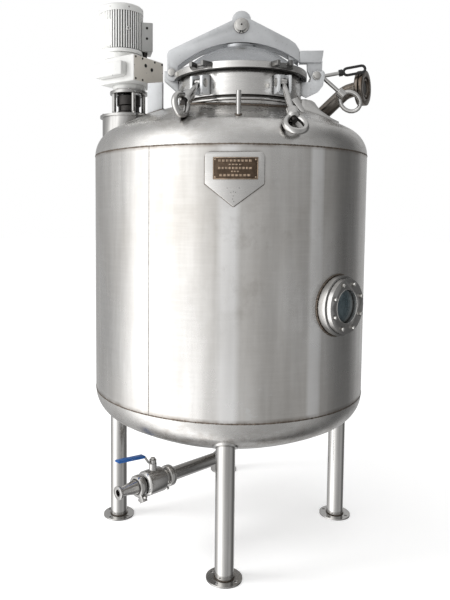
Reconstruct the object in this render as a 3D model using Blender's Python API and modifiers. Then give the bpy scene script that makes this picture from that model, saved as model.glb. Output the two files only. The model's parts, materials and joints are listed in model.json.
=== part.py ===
"""A vertical stainless mixing vessel on four legs, with a clamped and hinged manway lid.

Metres, +Z up. The tank's axis is the Z axis, the floor is z = 0 and the front faces -Y.
"""
import math

import bmesh
import bpy
from mathutils import Matrix, Vector

# Gaps
GAP = 0.0003
BORE_PLAY = 0.0003

# Shell and dished heads
SHELL_RADIUS = 0.550
WALL = 0.005
SHELL_BOTTOM = 0.584
SHELL_TOP = 1.521
HEAD_DEPTH = 0.223
KNUCKLE_RADIUS = 0.111
SHELL_SIDES = 64

# Legs
LEG_RADIUS = 0.0345
LEG_PLACES = {
    "leg_left": (-0.458, -0.034),
    "leg_front": (-0.002, -0.475),
    "leg_right": (0.473, 0.041),
    "leg_rear": (-0.012, 0.475),
}
FOOT_RADIUS = 0.065
FOOT_THICK = 0.006
PAD_RADIUS = 0.0475
PAD_THICK = 0.006

# Manway
MANWAY_X, MANWAY_Y = 0.0374, -0.122
NECK_RADIUS = 0.228
RING_RADIUS = 0.238
BORE_RADIUS = 0.224
RING_BOTTOM, RING_TOP = 1.715, 1.802
GASKET_THICK = 0.003
RIM_RADIUS = 0.258
RIM_TOP = 1.832
DOME_RADIUS = 0.232
DOME_RISE = 0.105
LID_PAD_RADIUS = 0.064
LID_PAD_TOP = 1.942
MANWAY_SIDES = 48

# Yoke over the lid
YOKE_THICK = 0.012
YOKE_OFFSET = 0.029
YOKE_PIN = (0.041, 2.014)
YOKE_PIN_RADIUS = 0.011
LUG_TOP = 2.077
LUG_HALF_WIDTH = 0.037
LUG_THICK = 0.030
LATCH_PIN = (-0.227, 1.839)
LATCH_PIN_RADIUS = 0.008
YOKE_LEG_RADIUS = 0.0215
YOKE_LEG_X = -0.2245
YOKE_UNDERSIDE_RADIUS = 0.375
YOKE_UNDERSIDE_TOP = 1.952
YOKE_RIGHT = 0.265
BLOCK_BOTTOM, BLOCK_TOP = 1.873, 1.918
BLOCK_RIGHT = 0.355
BLOCK_FRONT, BLOCK_BACK = -0.035, -0.001

# Hinge side, with the lid's hinge pin and the pin of the two loose rods
HINGE = (0.329, 1.821)
HINGE_PIN_RADIUS = 0.009
ROD_PIVOT = (0.352, 1.838)
FRONT_PLATE_Y = (-0.047, -0.037)
MID_PLATE_Y = (0.006, 0.012)
REAR_PLATE_Y = (0.065, 0.075)
HINGE_LEG_Y = (-0.026, -0.004)
HINGE_LEG_RADIUS = 0.022
EYE_ROD_Y = 0.0235
LOOP_ROD_Y = 0.0525
EYE_ROD_ANGLE = -41.0
EYE_ROD_TURN = 15.0
LOOP_ROD_ANGLE = 10.0
ROD_EYE_RADIUS = 0.016
ROD_EYE_WIDE = 0.016
LOOP_LONG, LOOP_WIDE, LOOP_BAR = 0.096, 0.038, 0.0056
LOOP_CENTRE = 0.139

# Swing bolts: where the pivot is round the manway from the front, which way it faces, pivot to ring,
# turn of the ring about the shank, and the angle from straight down at which the ring lies on the head
SWING_BOLTS = {
    "front_right": (32.0, 12.0, 0.222, 0.0, 42.3),
    "front_left": (-32.0, -25.0, 0.157, 80.0, 53.5),
    "rear_right": (146.0, 160.0, 0.154, 0.0, 70.0),
    "rear_left": (-146.0, -160.0, 0.154, 0.0, 76.6),
}
PIVOT_RADIUS = 0.280
PIVOT_Z = 1.755
PIVOT_PIN = 0.006
SHANK_RADIUS = 0.008
BOLT_EYE_RADIUS = 0.0155
BOLT_EYE_WIDE = 0.024
NUT_BOSS_RADIUS = 0.018
NUT_BOSS_LONG = 0.030
NUT_RING_TO_BOSS = 0.054
NUT_RING_ALONG, NUT_RING_ACROSS, NUT_RING_BAR = 0.042, 0.034, 0.0085
CLEVIS_OUT = 0.022
CLEVIS_BOTTOM, CLEVIS_TOP = 1.7215, 1.794
CLEVIS_HALF_WIDTH = 0.0245
CHEEK_THICK = 0.009
FORK_OUT = 0.022
FORK_BOTTOM, FORK_TOP = 1.811, 1.829
FORK_SLOT = 0.0165
FORK_SLOT_END = -0.016

# Agitator drive
AGITATOR_X, AGITATOR_Y = -0.432, 0.070
AGITATOR_PIPE = 0.112
AGITATOR_FLANGE = 0.122
AGITATOR_FLANGE_BOTTOM, AGITATOR_FLANGE_TOP = 1.696, 1.706
LANTERN_CIRCLE = 0.065
LANTERN_COLUMN = 0.009
LANTERN_ANGLES = (-63.4, -153.4, 116.6, 26.6)
LANTERN_PLATE = 0.080
LANTERN_BOTTOM, LANTERN_TOP = 1.797, 1.809
SHAFT_RADIUS = 0.015
SHAFT_CLEARANCE = 0.007
SHAFT_TOP, SHAFT_BOTTOM = 1.832, 0.780
BLADE_REACH = 0.085
GEARBOX_X, GEARBOX_Y = -0.421, 0.070
GEARBOX_TURN = -32.0
GEARBOX_LONG, GEARBOX_WIDE = 0.190, 0.190
GEARBOX_BOTTOM, GEARBOX_TOP = 1.833, 1.940
MOTOR_X, MOTOR_Y = -0.468, 0.091
MOTOR_RADIUS = 0.0935
MOTOR_BOTTOM, MOTOR_TOP = 1.966, 2.143
COWL_RADIUS = 0.094
COWL_TOP = 2.172
TERMINAL_TURN = 13.0

# Elbow nozzle with its blanked flange
ELBOW_RADIUS = 0.0285
ELBOW_FOOT = Vector((0.340, 0.020, 1.668))
ELBOW_CORNER = Vector((0.4725, 0.020, 1.7955))
ELBOW_FLANGE_Z = 1.8036
ELBOW_FLANGE_DIR = Vector((0.88, -0.475, 0.0)).normalized()
ELBOW_BEND = 0.055
ELBOW_FLANGE_OUT = 0.070
ELBOW_FLANGE_RADIUS = 0.0695
ELBOW_DISC = 0.014
ELBOW_RECESS, ELBOW_RECESS_DEEP = 0.045, 0.007

# Sight glass
SIGHT_AZIMUTH = -45.0
SIGHT_Z = 0.972
SIGHT_BORE = 0.060
SIGHT_BASE_RADIUS = 0.108
SIGHT_FLANGE_RADIUS = 0.0985
SIGHT_BASE_FACE = 0.574
SIGHT_FACE = 0.591
GLASS_RADIUS = 0.070
GLASS_THICK = 0.012

# Outlet under the bottom head
OUTLET_DIR = Vector((-0.703, -0.711, 0.0)).normalized()
OUTLET_Z = 0.262
OUTLET_RADIUS = 0.0265
OUTLET_BEND = 0.070
OUTLET_END = 0.322
FERRULE_RADIUS = 0.032
FERRULE_THICK = 0.006
TIP_THICK = 0.009
VALVE_CENTRE = 0.400
VALVE_HALF = 0.043
VALVE_RADIUS = 0.047
VALVE_OUT = 0.469
CLAMP_RADIUS = 0.041
CLAMP_WIDE = 0.026
REDUCER_END = 0.565
STEM_TOP = 0.345


def head_curve():
    """Crown radius of the dished head and the radius where crown and knuckle meet."""
    flat = SHELL_RADIUS - KNUCKLE_RADIUS
    crown = (HEAD_DEPTH**2 - KNUCKLE_RADIUS**2 + flat**2) / (2 * (HEAD_DEPTH - KNUCKLE_RADIUS))
    return crown, crown * flat / (crown - KNUCKLE_RADIUS)


def dome_profile(offset, crown_steps=5, knuckle_steps=5):
    """Radius and height above the seam, from the pole out and down to the seam."""
    crown, join = head_curve()
    centre = HEAD_DEPTH - crown
    limit = math.asin(join / crown)
    points = []
    for i in range(crown_steps + 1):
        angle = limit * i / crown_steps
        points.append(((crown + offset) * math.sin(angle), centre + (crown + offset) * math.cos(angle)))
    flat = SHELL_RADIUS - KNUCKLE_RADIUS
    for i in range(1, knuckle_steps + 1):
        angle = limit + (math.pi / 2 - limit) * i / knuckle_steps
        radius = KNUCKLE_RADIUS + offset
        points.append((flat + radius * math.sin(angle), radius * math.cos(angle)))
    return points


def material(name, colour, roughness, metallic):
    mat = bpy.data.materials.new(name)
    mat.use_nodes = True
    shader = mat.node_tree.nodes["Principled BSDF"]
    shader.inputs["Base Color"].default_value = (*colour, 1.0)
    shader.inputs["Roughness"].default_value = roughness
    shader.inputs["Metallic"].default_value = metallic
    return mat


def start():
    """Empty the scene, then make the two collections and the materials."""
    for obj in list(bpy.data.objects):
        bpy.data.objects.remove(obj, do_unlink=True)
    for name in ("vertical_storage_tank", "cutters"):
        collection = bpy.data.collections.new(name)
        bpy.context.scene.collection.children.link(collection)
    material("brushed_steel", (0.55, 0.54, 0.53), 0.35, 1.0)
    material("bright_steel", (0.66, 0.66, 0.65), 0.25, 1.0)
    material("blasted_steel", (0.62, 0.63, 0.64), 0.50, 0.8)
    material("heat_tinted_steel", (0.36, 0.31, 0.27), 0.35, 1.0)
    material("drive_paint", (0.80, 0.80, 0.78), 0.45, 0.0)
    material("seal_rubber", (0.03, 0.03, 0.03), 0.70, 0.0)
    material("dipped_plastic", (0.02, 0.02, 0.02), 0.40, 0.0)
    material("blue_sleeve", (0.02, 0.14, 0.42), 0.40, 0.0)
    material("bronze", (0.28, 0.19, 0.12), 0.45, 0.9)
    material("sight_glass", (0.25, 0.32, 0.34), 0.08, 0.0)


def place(name, mesh, mat, matrix=Matrix.Identity(4)):
    """Put a finished mesh in the tank's collection."""
    obj = bpy.data.objects.new(name, mesh)
    obj.matrix_world = matrix
    mesh.materials.clear()
    mesh.materials.append(bpy.data.materials[mat])
    bpy.data.collections["vertical_storage_tank"].objects.link(obj)
    mesh.shade_smooth()
    mesh.set_sharp_from_angle(angle=math.radians(35))
    return obj


def helper(obj):
    """Move a shape that only cuts or joins into the cutters' collection."""
    for collection in list(obj.users_collection):
        collection.objects.unlink(obj)
    bpy.data.collections["cutters"].objects.link(obj)
    obj.hide_render = True
    obj.display_type = "WIRE"
    return obj


def boolean(obj, other, operation):
    mod = obj.modifiers.new(operation.lower() + "_" + other.name, "BOOLEAN")
    mod.operation = operation
    mod.object = other
    helper(other)
    return obj


def cut(obj, *others):
    for other in others:
        boolean(obj, other, "DIFFERENCE")
    return obj


def join(obj, *others):
    for other in others:
        boolean(obj, other, "UNION")
    return obj


def box(name, mat, low, high, matrix=Matrix.Identity(4), bevel=0.0):
    """A block between two corners, with its edges rounded if wanted."""
    bm = bmesh.new()
    bmesh.ops.create_cube(bm, size=1.0)
    low, high = Vector(low), Vector(high)
    size = high - low
    bmesh.ops.scale(bm, vec=size, verts=bm.verts)
    bmesh.ops.translate(bm, vec=(low + high) / 2, verts=bm.verts)
    mesh = bpy.data.meshes.new(name)
    bm.to_mesh(mesh)
    bm.free()
    obj = place(name, mesh, mat, matrix)
    if bevel:
        mod = obj.modifiers.new("rounded_edges", "BEVEL")
        mod.width = bevel
        mod.segments = 2
    return obj


def along(start_point, end_point):
    """A frame at the first point whose Z axis runs to the second."""
    start_point, end_point = Vector(start_point), Vector(end_point)
    turn = (end_point - start_point).to_track_quat("Z", "Y").to_matrix().to_4x4()
    return Matrix.Translation(start_point) @ turn


def rod(name, mat, radius, start_point, end_point, sides=16, matrix=Matrix.Identity(4)):
    """A round bar between two points."""
    length = (Vector(end_point) - Vector(start_point)).length
    bm = bmesh.new()
    bmesh.ops.create_cone(
        bm, cap_ends=True, segments=sides, radius1=radius, radius2=radius, depth=length
    )
    bmesh.ops.translate(bm, vec=(0, 0, length / 2), verts=bm.verts)
    mesh = bpy.data.meshes.new(name)
    bm.to_mesh(mesh)
    bm.free()
    return place(name, mesh, mat, matrix @ along(start_point, end_point))


def turned(name, mat, profile, sides, matrix=Matrix.Identity(4), closed=False):
    """A profile of radius and height turned about Z, listed down its outer side."""
    mesh = bpy.data.meshes.new(name)
    edges = [(i, i + 1) for i in range(len(profile) - 1)]
    if closed:
        edges.append((len(profile) - 1, 0))
    mesh.from_pydata([(r, 0.0, z) for r, z in profile], edges, [])
    obj = place(name, mesh, mat, matrix)
    mod = obj.modifiers.new("turned", "SCREW")
    mod.steps = sides
    mod.render_steps = sides
    mod.use_merge_vertices = True
    mod.merge_threshold = 0.00001
    mod.use_smooth_shade = True
    return obj


def arc(centre, radius, first, last, steps):
    """Points on a circle, angles in degrees."""
    points = []
    for i in range(steps + 1):
        angle = math.radians(first + (last - first) * i / steps)
        points.append((centre[0] + radius * math.cos(angle), centre[1] + radius * math.sin(angle)))
    return points


def from_curve(name, mat, curve, matrix):
    """Make a curve object's shape a mesh with welded caps."""
    guide = bpy.data.objects.new(name + "_curve", curve)
    bpy.data.collections["cutters"].objects.link(guide)
    guide.matrix_world = matrix
    bpy.context.view_layer.update()
    evaluated = guide.evaluated_get(bpy.context.evaluated_depsgraph_get())
    mesh = bpy.data.meshes.new_from_object(evaluated)
    bm = bmesh.new()
    bm.from_mesh(mesh)
    bmesh.ops.remove_doubles(bm, verts=bm.verts, dist=0.00001)
    bm.to_mesh(mesh)
    bm.free()
    bpy.data.objects.remove(guide, do_unlink=True)
    return place(name, mesh, mat, matrix)


def plate(name, mat, outline, thick, matrix, holes=()):
    """A flat outline with round holes, given thickness on both sides of its plane."""
    curve = bpy.data.curves.new(name, "CURVE")
    curve.dimensions = "2D"
    curve.fill_mode = "BOTH"
    curve.extrude = thick / 2
    loops = [outline]
    for centre, radius in holes:
        loops.append(arc(centre, radius, 0, 360 * 15 / 16, 15))
    for loop in loops:
        spline = curve.splines.new("POLY")
        spline.points.add(len(loop) - 1)
        for point, (x, y) in zip(spline.points, loop):
            point.co = (x, y, 0.0, 1.0)
        spline.use_cyclic_u = True
    return from_curve(name, mat, curve, matrix)


def standing(y_low, y_high):
    """A frame for an outline drawn in X and Z, midway between two distances behind the manway."""
    middle = MANWAY_Y + (y_low + y_high) / 2
    return Matrix.Translation((0, middle, 0)) @ Matrix.Rotation(math.pi / 2, 4, "X")


def pipe(name, mat, points, radius, wall=0.0, sides=4, closed=False):
    """A bar along points, or an open tube if a wall is given."""
    curve = bpy.data.curves.new(name, "CURVE")
    curve.dimensions = "3D"
    curve.bevel_depth = radius
    curve.bevel_resolution = sides
    curve.use_fill_caps = not wall and not closed
    spline = curve.splines.new("POLY")
    spline.points.add(len(points) - 1)
    for point, place_at in zip(spline.points, points):
        point.co = (*place_at, 1.0)
    spline.use_cyclic_u = closed
    obj = from_curve(name, mat, curve, Matrix.Identity(4))
    if wall:
        mod = obj.modifiers.new("wall", "SOLIDIFY")
        mod.thickness = wall
        mod.offset = -1.0
    return obj


def bend(first, corner, last, radius, steps=6):
    """Points from first to last with a round bend at the corner."""
    a = (first - corner).normalized()
    b = (last - corner).normalized()
    half = a.angle(b) / 2
    back = radius / math.tan(half)
    centre = corner + (a + b).normalized() * (radius / math.sin(half))
    start_arm = corner + a * back - centre
    end_arm = corner + b * back - centre
    total = start_arm.angle(end_arm)
    axis = start_arm.cross(end_arm).normalized()
    points = [first]
    for i in range(steps + 1):
        points.append(centre + Matrix.Rotation(total * i / steps, 3, axis) @ start_arm)
    return points + [last]


def dome_cutter(name, offset, top=True):
    """A solid of the head's outer surface, used to fit what stands on the head."""
    below = 0.05
    profile = dome_profile(offset)
    profile += [(SHELL_RADIUS + offset, -below), (0.0, -below)]
    if top:
        return turned(name, "brushed_steel", profile, SHELL_SIDES, Matrix.Translation((0, 0, SHELL_TOP)))
    mirrored = [(r, -z) for r, z in reversed(profile)]
    matrix = Matrix.Translation((0, 0, SHELL_BOTTOM))
    return turned(name, "brushed_steel", mirrored, SHELL_SIDES, matrix)


def ring_cutter(name):
    """A round bar of the manway ring's outside, used to fit what is welded to the ring."""
    matrix = Matrix.Translation((MANWAY_X, MANWAY_Y, 0))
    radius = RING_RADIUS + GAP
    profile = [(0, RING_TOP), (radius, RING_TOP), (radius, 1.60), (0, 1.60)]
    return turned(name, "brushed_steel", profile, MANWAY_SIDES, matrix)


def sight_frame():
    """A frame on the tank's axis at the sight glass, with Z pointing out through it."""
    angle = math.radians(SIGHT_AZIMUTH)
    out = Vector((math.cos(angle), math.sin(angle), 0.0))
    return along((0, 0, SIGHT_Z), Vector((0, 0, SIGHT_Z)) + out)


def outlet_point(distance, z=OUTLET_Z):
    return OUTLET_DIR * distance + Vector((0, 0, z))


def bolt_frame(angle, facing):
    """A frame on the floor under a swing bolt's pivot with X pointing out the way it faces."""
    turn = math.radians(angle - 90)
    x = MANWAY_X + PIVOT_RADIUS * math.cos(turn)
    y = MANWAY_Y + PIVOT_RADIUS * math.sin(turn)
    return Matrix.Translation((x, y, 0)) @ Matrix.Rotation(math.radians(facing - 90), 4, "Z")


def make_shell():
    outer, inner = SHELL_RADIUS, SHELL_RADIUS - WALL
    top, bottom = SHELL_TOP - GAP, SHELL_BOTTOM + GAP
    profile = [(outer, top), (outer, bottom), (inner, bottom), (inner, top)]
    shell = turned("shell", "brushed_steel", profile, SHELL_SIDES, closed=True)
    hole = rod("shell_sight_hole", "brushed_steel", SIGHT_BORE, (0, 0, 0.4), (0, 0, 0.7), 24, sight_frame())
    cut(shell, hole)


def make_heads():
    outside = dome_profile(0.0)
    inside = dome_profile(-WALL, 4, 3)
    profile = outside + list(reversed(inside))
    top = turned("top_head", "brushed_steel", profile, SHELL_SIDES, Matrix.Translation((0, 0, SHELL_TOP)))
    manway = (MANWAY_X, MANWAY_Y)
    agitator = (AGITATOR_X, AGITATOR_Y)
    cut(
        top,
        rod("head_manway_hole", "brushed_steel", BORE_RADIUS, (*manway, 1.5), (*manway, 1.9), MANWAY_SIDES),
        rod("head_agitator_hole", "brushed_steel", 0.085, (*agitator, 1.4), (*agitator, 1.9), 24),
    )
    mirrored = [(r, -z) for r, z in reversed(profile)]
    bottom_matrix = Matrix.Translation((0, 0, SHELL_BOTTOM))
    bottom = turned("bottom_head", "brushed_steel", mirrored, SHELL_SIDES, bottom_matrix)
    bore = OUTLET_RADIUS - 0.002
    cut(bottom, rod("head_outlet_hole", "brushed_steel", bore, (0, 0, 0.3), (0, 0, 0.5), 20))


def make_legs():
    """Tube legs with a pad under the head and a round foot."""
    for name, (x, y) in LEG_PLACES.items():
        leg = rod(name, "bright_steel", LEG_RADIUS, (x, y, 0.002), (x, y, 0.54), 24)
        foot = rod(name + "_foot", "bright_steel", FOOT_RADIUS, (x, y, 0), (x, y, FOOT_THICK), 32)
        pad = rod(name + "_pad", "bright_steel", PAD_RADIUS, (x, y, 0.42), (x, y, 0.53), 24)
        boolean(pad, dome_cutter(name + "_pad_under", PAD_THICK, top=False), "INTERSECT")
        join(leg, foot, pad)
        cut(leg, dome_cutter(name + "_head_fit", GAP, top=False))


def make_manway():
    """The short neck and its ring, set on the slope of the top head."""
    profile = [
        (RING_RADIUS, RING_TOP),
        (RING_RADIUS, RING_BOTTOM),
        (NECK_RADIUS, RING_BOTTOM),
        (NECK_RADIUS, 1.64),
        (BORE_RADIUS, 1.64),
        (BORE_RADIUS, RING_TOP),
    ]
    matrix = Matrix.Translation((MANWAY_X, MANWAY_Y, 0))
    neck = turned("manway_neck", "brushed_steel", profile, MANWAY_SIDES, matrix, closed=True)
    cut(neck, dome_cutter("neck_head_fit", GAP))


def cap_arc(radius, top, edge, steps):
    """A round cap's profile of radius and height, from its pole to its edge radius."""
    limit = math.asin(edge / radius)
    points = []
    for i in range(steps + 1):
        angle = limit * i / steps
        points.append((radius * math.sin(angle), top - radius + radius * math.cos(angle)))
    return points


def make_lid():
    """The dished lid with its thick rim, hollow underneath, and the seal below it."""
    matrix = Matrix.Translation((MANWAY_X, MANWAY_Y, 0))
    rim_bottom = RING_TOP + GASKET_THICK
    cap_radius = (DOME_RADIUS**2 + DOME_RISE**2) / (2 * DOME_RISE)
    cap_top = RIM_TOP + DOME_RISE
    outside = [p for p in cap_arc(cap_radius, cap_top, DOME_RADIUS, 8) if p[0] > LID_PAD_RADIUS]
    pad_foot = cap_top - cap_radius + math.sqrt(cap_radius**2 - LID_PAD_RADIUS**2)
    profile = [(0.0, LID_PAD_TOP), (LID_PAD_RADIUS, LID_PAD_TOP), (LID_PAD_RADIUS, pad_foot)] + outside
    profile += [(RIM_RADIUS, RIM_TOP), (RIM_RADIUS, rim_bottom), (BORE_RADIUS, rim_bottom)]
    profile += list(reversed(cap_arc(cap_radius - WALL, cap_top - WALL, BORE_RADIUS, 6)))
    lid = turned("lid", "brushed_steel", profile, MANWAY_SIDES, matrix)
    notch_low = (-0.30, MANWAY_Y - 0.0525, 1.79)
    notch_high = (-0.1975, MANWAY_Y + 0.0525, 1.86)
    cut(lid, box("lid_notch", "brushed_steel", notch_low, notch_high))
    low, high = RING_TOP + GAP, rim_bottom - GAP
    inner, outer = BORE_RADIUS + GAP, 0.2345
    seal = [(outer, high), (outer, low), (inner, low), (inner, high)]
    turned("lid_gasket", "seal_rubber", seal, MANWAY_SIDES, matrix, closed=True)


def yoke_outline():
    """The yoke plate's edge in X and Z, starting at its left foot."""
    middle = YOKE_PIN[0] - 0.003
    under = (middle, YOKE_UNDERSIDE_TOP - YOKE_UNDERSIDE_RADIUS)
    right = math.degrees(math.acos((YOKE_RIGHT - middle) / YOKE_UNDERSIDE_RADIUS))
    inner_left = YOKE_LEG_X + YOKE_LEG_RADIUS
    left = math.degrees(math.acos((inner_left - middle) / YOKE_UNDERSIDE_RADIUS))
    outline = arc((YOKE_LEG_X, 1.829), YOKE_LEG_RADIUS, 0, -180, 8)
    outline += [(YOKE_LEG_X - YOKE_LEG_RADIUS, 1.905)]
    outline += arc((-0.221, 1.905), 0.025, 170, 115, 3)
    outline += [(0.004, 2.035)]
    outline += arc((0.043, 1.958), 0.0865, 112, 64, 5)
    outline += [(0.224, 1.962), (0.248, 1.945), (0.2635, 1.921), (YOKE_RIGHT, 1.905)]
    return outline + arc(under, YOKE_UNDERSIDE_RADIUS, right, left, 14)


def make_yoke():
    """Two plates over the lid, the block and leg at the hinge, the lid's lug and the pins."""
    holes = ((YOKE_PIN, YOKE_PIN_RADIUS + BORE_PLAY), (LATCH_PIN, LATCH_PIN_RADIUS + BORE_PLAY))
    half = YOKE_THICK / 2
    front = standing(-YOKE_OFFSET - half, -YOKE_OFFSET + half)
    rear = standing(YOKE_OFFSET - half, YOKE_OFFSET + half)
    plate("yoke_front", "blasted_steel", yoke_outline(), YOKE_THICK, front, holes)
    plate("yoke_rear", "blasted_steel", yoke_outline(), YOKE_THICK, rear, holes)
    block_left = YOKE_RIGHT + GAP
    block_outline = [
        (block_left, BLOCK_BOTTOM),
        (BLOCK_RIGHT - 0.006, BLOCK_BOTTOM),
        (BLOCK_RIGHT, BLOCK_TOP),
        (block_left, BLOCK_TOP),
    ]
    block_frame = standing(BLOCK_FRONT, BLOCK_BACK)
    block = plate("yoke_block", "blasted_steel", block_outline, BLOCK_BACK - BLOCK_FRONT, block_frame)
    inside = YOKE_OFFSET - half - GAP
    spacer_low = (0.225, MANWAY_Y - inside, 1.886)
    spacer_high = (0.276, MANWAY_Y + inside, 1.915)
    spacer = box("yoke_block_spacer", "blasted_steel", spacer_low, spacer_high)
    leg_outline = arc(HINGE, HINGE_LEG_RADIUS, 0, -180, 8)
    leg_outline += [(0.296, 1.845), (0.294, 1.880), (0.3525, 1.880)]
    leg_thick = HINGE_LEG_Y[1] - HINGE_LEG_Y[0]
    bore = ((HINGE, HINGE_PIN_RADIUS + BORE_PLAY),)
    leg = plate("yoke_block_leg", "blasted_steel", leg_outline, leg_thick, standing(*HINGE_LEG_Y), bore)
    join(block, spacer, leg)
    lug_outline = arc((YOKE_PIN[0], LUG_TOP - LUG_HALF_WIDTH), LUG_HALF_WIDTH, 0, 180, 10)
    lug_outline += [
        (YOKE_PIN[0] - LUG_HALF_WIDTH, LID_PAD_TOP + GAP),
        (YOKE_PIN[0] + LUG_HALF_WIDTH, LID_PAD_TOP + GAP),
    ]
    lug_frame = standing(-LUG_THICK / 2, LUG_THICK / 2)
    lug_hole = ((YOKE_PIN, YOKE_PIN_RADIUS + BORE_PLAY),)
    plate("lid_lug", "blasted_steel", lug_outline, LUG_THICK, lug_frame, lug_hole)
    outside = YOKE_OFFSET + half + GAP
    yoke_pin = [
        (0.0, outside + 0.018),
        (0.0225, outside + 0.018),
        (0.0225, outside + 0.004),
        (0.029, outside + 0.004),
        (0.029, outside),
        (YOKE_PIN_RADIUS, outside),
        (YOKE_PIN_RADIUS, -outside),
        (0.029, -outside),
        (0.029, -outside - 0.004),
        (0.018, -outside - 0.004),
        (0.018, -outside - 0.012),
        (0.0, -outside - 0.012),
    ]
    turned("yoke_pin", "bright_steel", yoke_pin, 20, facing_front(YOKE_PIN))
    latch_pin = [
        (0.0, outside + 0.014),
        (0.014, outside + 0.014),
        (0.014, outside),
        (LATCH_PIN_RADIUS, outside),
        (LATCH_PIN_RADIUS, -outside),
        (0.012, -outside),
        (0.012, -outside - 0.008),
        (0.0, -outside - 0.008),
    ]
    turned("latch_pin", "bright_steel", latch_pin, 16, facing_front(LATCH_PIN))


def facing_front(centre):
    """A frame at a pin's place in X and Z with Z pointing to the front."""
    return Matrix.Translation((centre[0], MANWAY_Y, centre[1])) @ Matrix.Rotation(math.pi / 2, 4, "X")


def make_hinge_side():
    """The bracket plates on the ring's right, the hinge pin and the pin of the loose rods."""
    foot = [(0.262, 1.752), (0.291, 1.739), (0.335, 1.760), (0.353, 1.782)]
    shoulder = [(0.303, 1.797), (0.262, 1.797)]
    front = foot + [(0.357, 1.804), (0.352, 1.836)] + arc(HINGE, 0.018, 60, 150, 6) + shoulder
    hole = ((HINGE, HINGE_PIN_RADIUS + BORE_PLAY),)
    front_thick = FRONT_PLATE_Y[1] - FRONT_PLATE_Y[0]
    bracket = plate("hinge_bracket", "blasted_steel", front, front_thick, standing(*FRONT_PLATE_Y), hole)
    cut(bracket, ring_cutter("hinge_bracket_fit"))
    rear_foot = [(0.262, 1.775), (0.300, 1.765), (0.340, 1.785), (0.360, 1.805), (0.3665, 1.820)]
    rear = rear_foot + arc(ROD_PIVOT, 0.016, -20, 110, 6) + arc(HINGE, 0.018, 120, 160, 3) + shoulder
    mid_thick = MID_PLATE_Y[1] - MID_PLATE_Y[0]
    rear_thick = REAR_PLATE_Y[1] - REAR_PLATE_Y[0]
    middle = plate("rod_bracket", "blasted_steel", rear, mid_thick, standing(*MID_PLATE_Y), hole)
    last = plate("rod_bracket_rear", "blasted_steel", rear, rear_thick, standing(*REAR_PLATE_Y))
    pin_start = (ROD_PIVOT[0], MANWAY_Y + (MID_PLATE_Y[0] + MID_PLATE_Y[1]) / 2, ROD_PIVOT[1])
    pin_end = (ROD_PIVOT[0], MANWAY_Y + (REAR_PLATE_Y[0] + REAR_PLATE_Y[1]) / 2, ROD_PIVOT[1])
    join(middle, last, rod("rod_bracket_pin", "blasted_steel", HINGE_PIN_RADIUS, pin_start, pin_end))
    cut(middle, ring_cutter("rod_bracket_fit"))
    face = -FRONT_PLATE_Y[0] + GAP
    back = -MID_PLATE_Y[1] + 0.0005
    profile = [
        (0.0, face + 0.012),
        (0.0125, face + 0.012),
        (0.0125, face + 0.003),
        (0.016, face + 0.003),
        (0.016, face),
        (HINGE_PIN_RADIUS, face),
        (HINGE_PIN_RADIUS, back),
        (0.0, back),
    ]
    turned("hinge_pin", "bright_steel", profile, 16, facing_front(HINGE))


def make_latch_bracket():
    """The plate between the yoke's plates with an open slot for the latch pin."""
    x, z = LATCH_PIN
    slot = LATCH_PIN_RADIUS + 0.0025
    top = 1.850
    outline = [(-0.190, 1.767), (-0.190, 1.799), (-0.2035, 1.799), (-0.2035, top), (x + slot, top)]
    outline += arc((x, z), slot, 0, -180, 8)
    outline += [(x - slot, top), (-0.258, top), (-0.258, 1.813), (-0.205, 1.767)]
    bracket = plate("latch_bracket", "blasted_steel", outline, 0.030, standing(-0.015, 0.015))
    cut(bracket, ring_cutter("latch_bracket_fit"))


def eye_nut(name, mat, frame, boss_start, ring_centre):
    """A threaded boss with an oval ring in the frame's X and Z plane, along +Z."""
    boss_end = (0, 0, boss_start + NUT_BOSS_LONG)
    boss = rod(name + "_boss", mat, NUT_BOSS_RADIUS, (0, 0, boss_start), boss_end, 12, frame)
    points = []
    steps = 20
    for i in range(steps):
        angle = 2 * math.pi * i / steps
        across = NUT_RING_ACROSS * math.cos(angle)
        points.append(frame @ Vector((across, 0.0, ring_centre + NUT_RING_ALONG * math.sin(angle))))
    return boss, pipe(name + "_ring", mat, points, NUT_RING_BAR, sides=2, closed=True)


def make_swing_bolts():
    """Clevis, hinged eye bolt with its eye nut, and the lid's fork, at four places."""
    for name, (angle, facing, ring_centre, turn, hang) in SWING_BOLTS.items():
        frame = bolt_frame(angle, facing)
        make_clevis("clevis_" + name, frame)
        make_fork("lid_fork_" + name, frame)
        pivot = frame @ Matrix.Translation((0, 0, PIVOT_Z))
        down = pivot @ Matrix.Rotation(math.radians(180 - hang), 4, "Y")
        boss_start = ring_centre - NUT_RING_TO_BOSS
        half = BOLT_EYE_WIDE / 2
        bolt = rod("swing_bolt_" + name, "bright_steel", BOLT_EYE_RADIUS, (0, -half, 0), (0, half, 0), 16, down)
        shank_end = (0, 0, boss_start + 0.015)
        shank = rod(bolt.name + "_shank", "bright_steel", SHANK_RADIUS, (0, 0, 0.004), shank_end, 12, down)
        nut_frame = down @ Matrix.Rotation(math.radians(90 - turn), 4, "Z")
        join(bolt, shank, *eye_nut(bolt.name + "_nut", "bright_steel", nut_frame, boss_start, ring_centre))
        bore = PIVOT_PIN + BORE_PLAY
        cut(bolt, rod(bolt.name + "_bore", "bright_steel", bore, (0, -0.05, 0), (0, 0.05, 0), 12, down))


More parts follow.
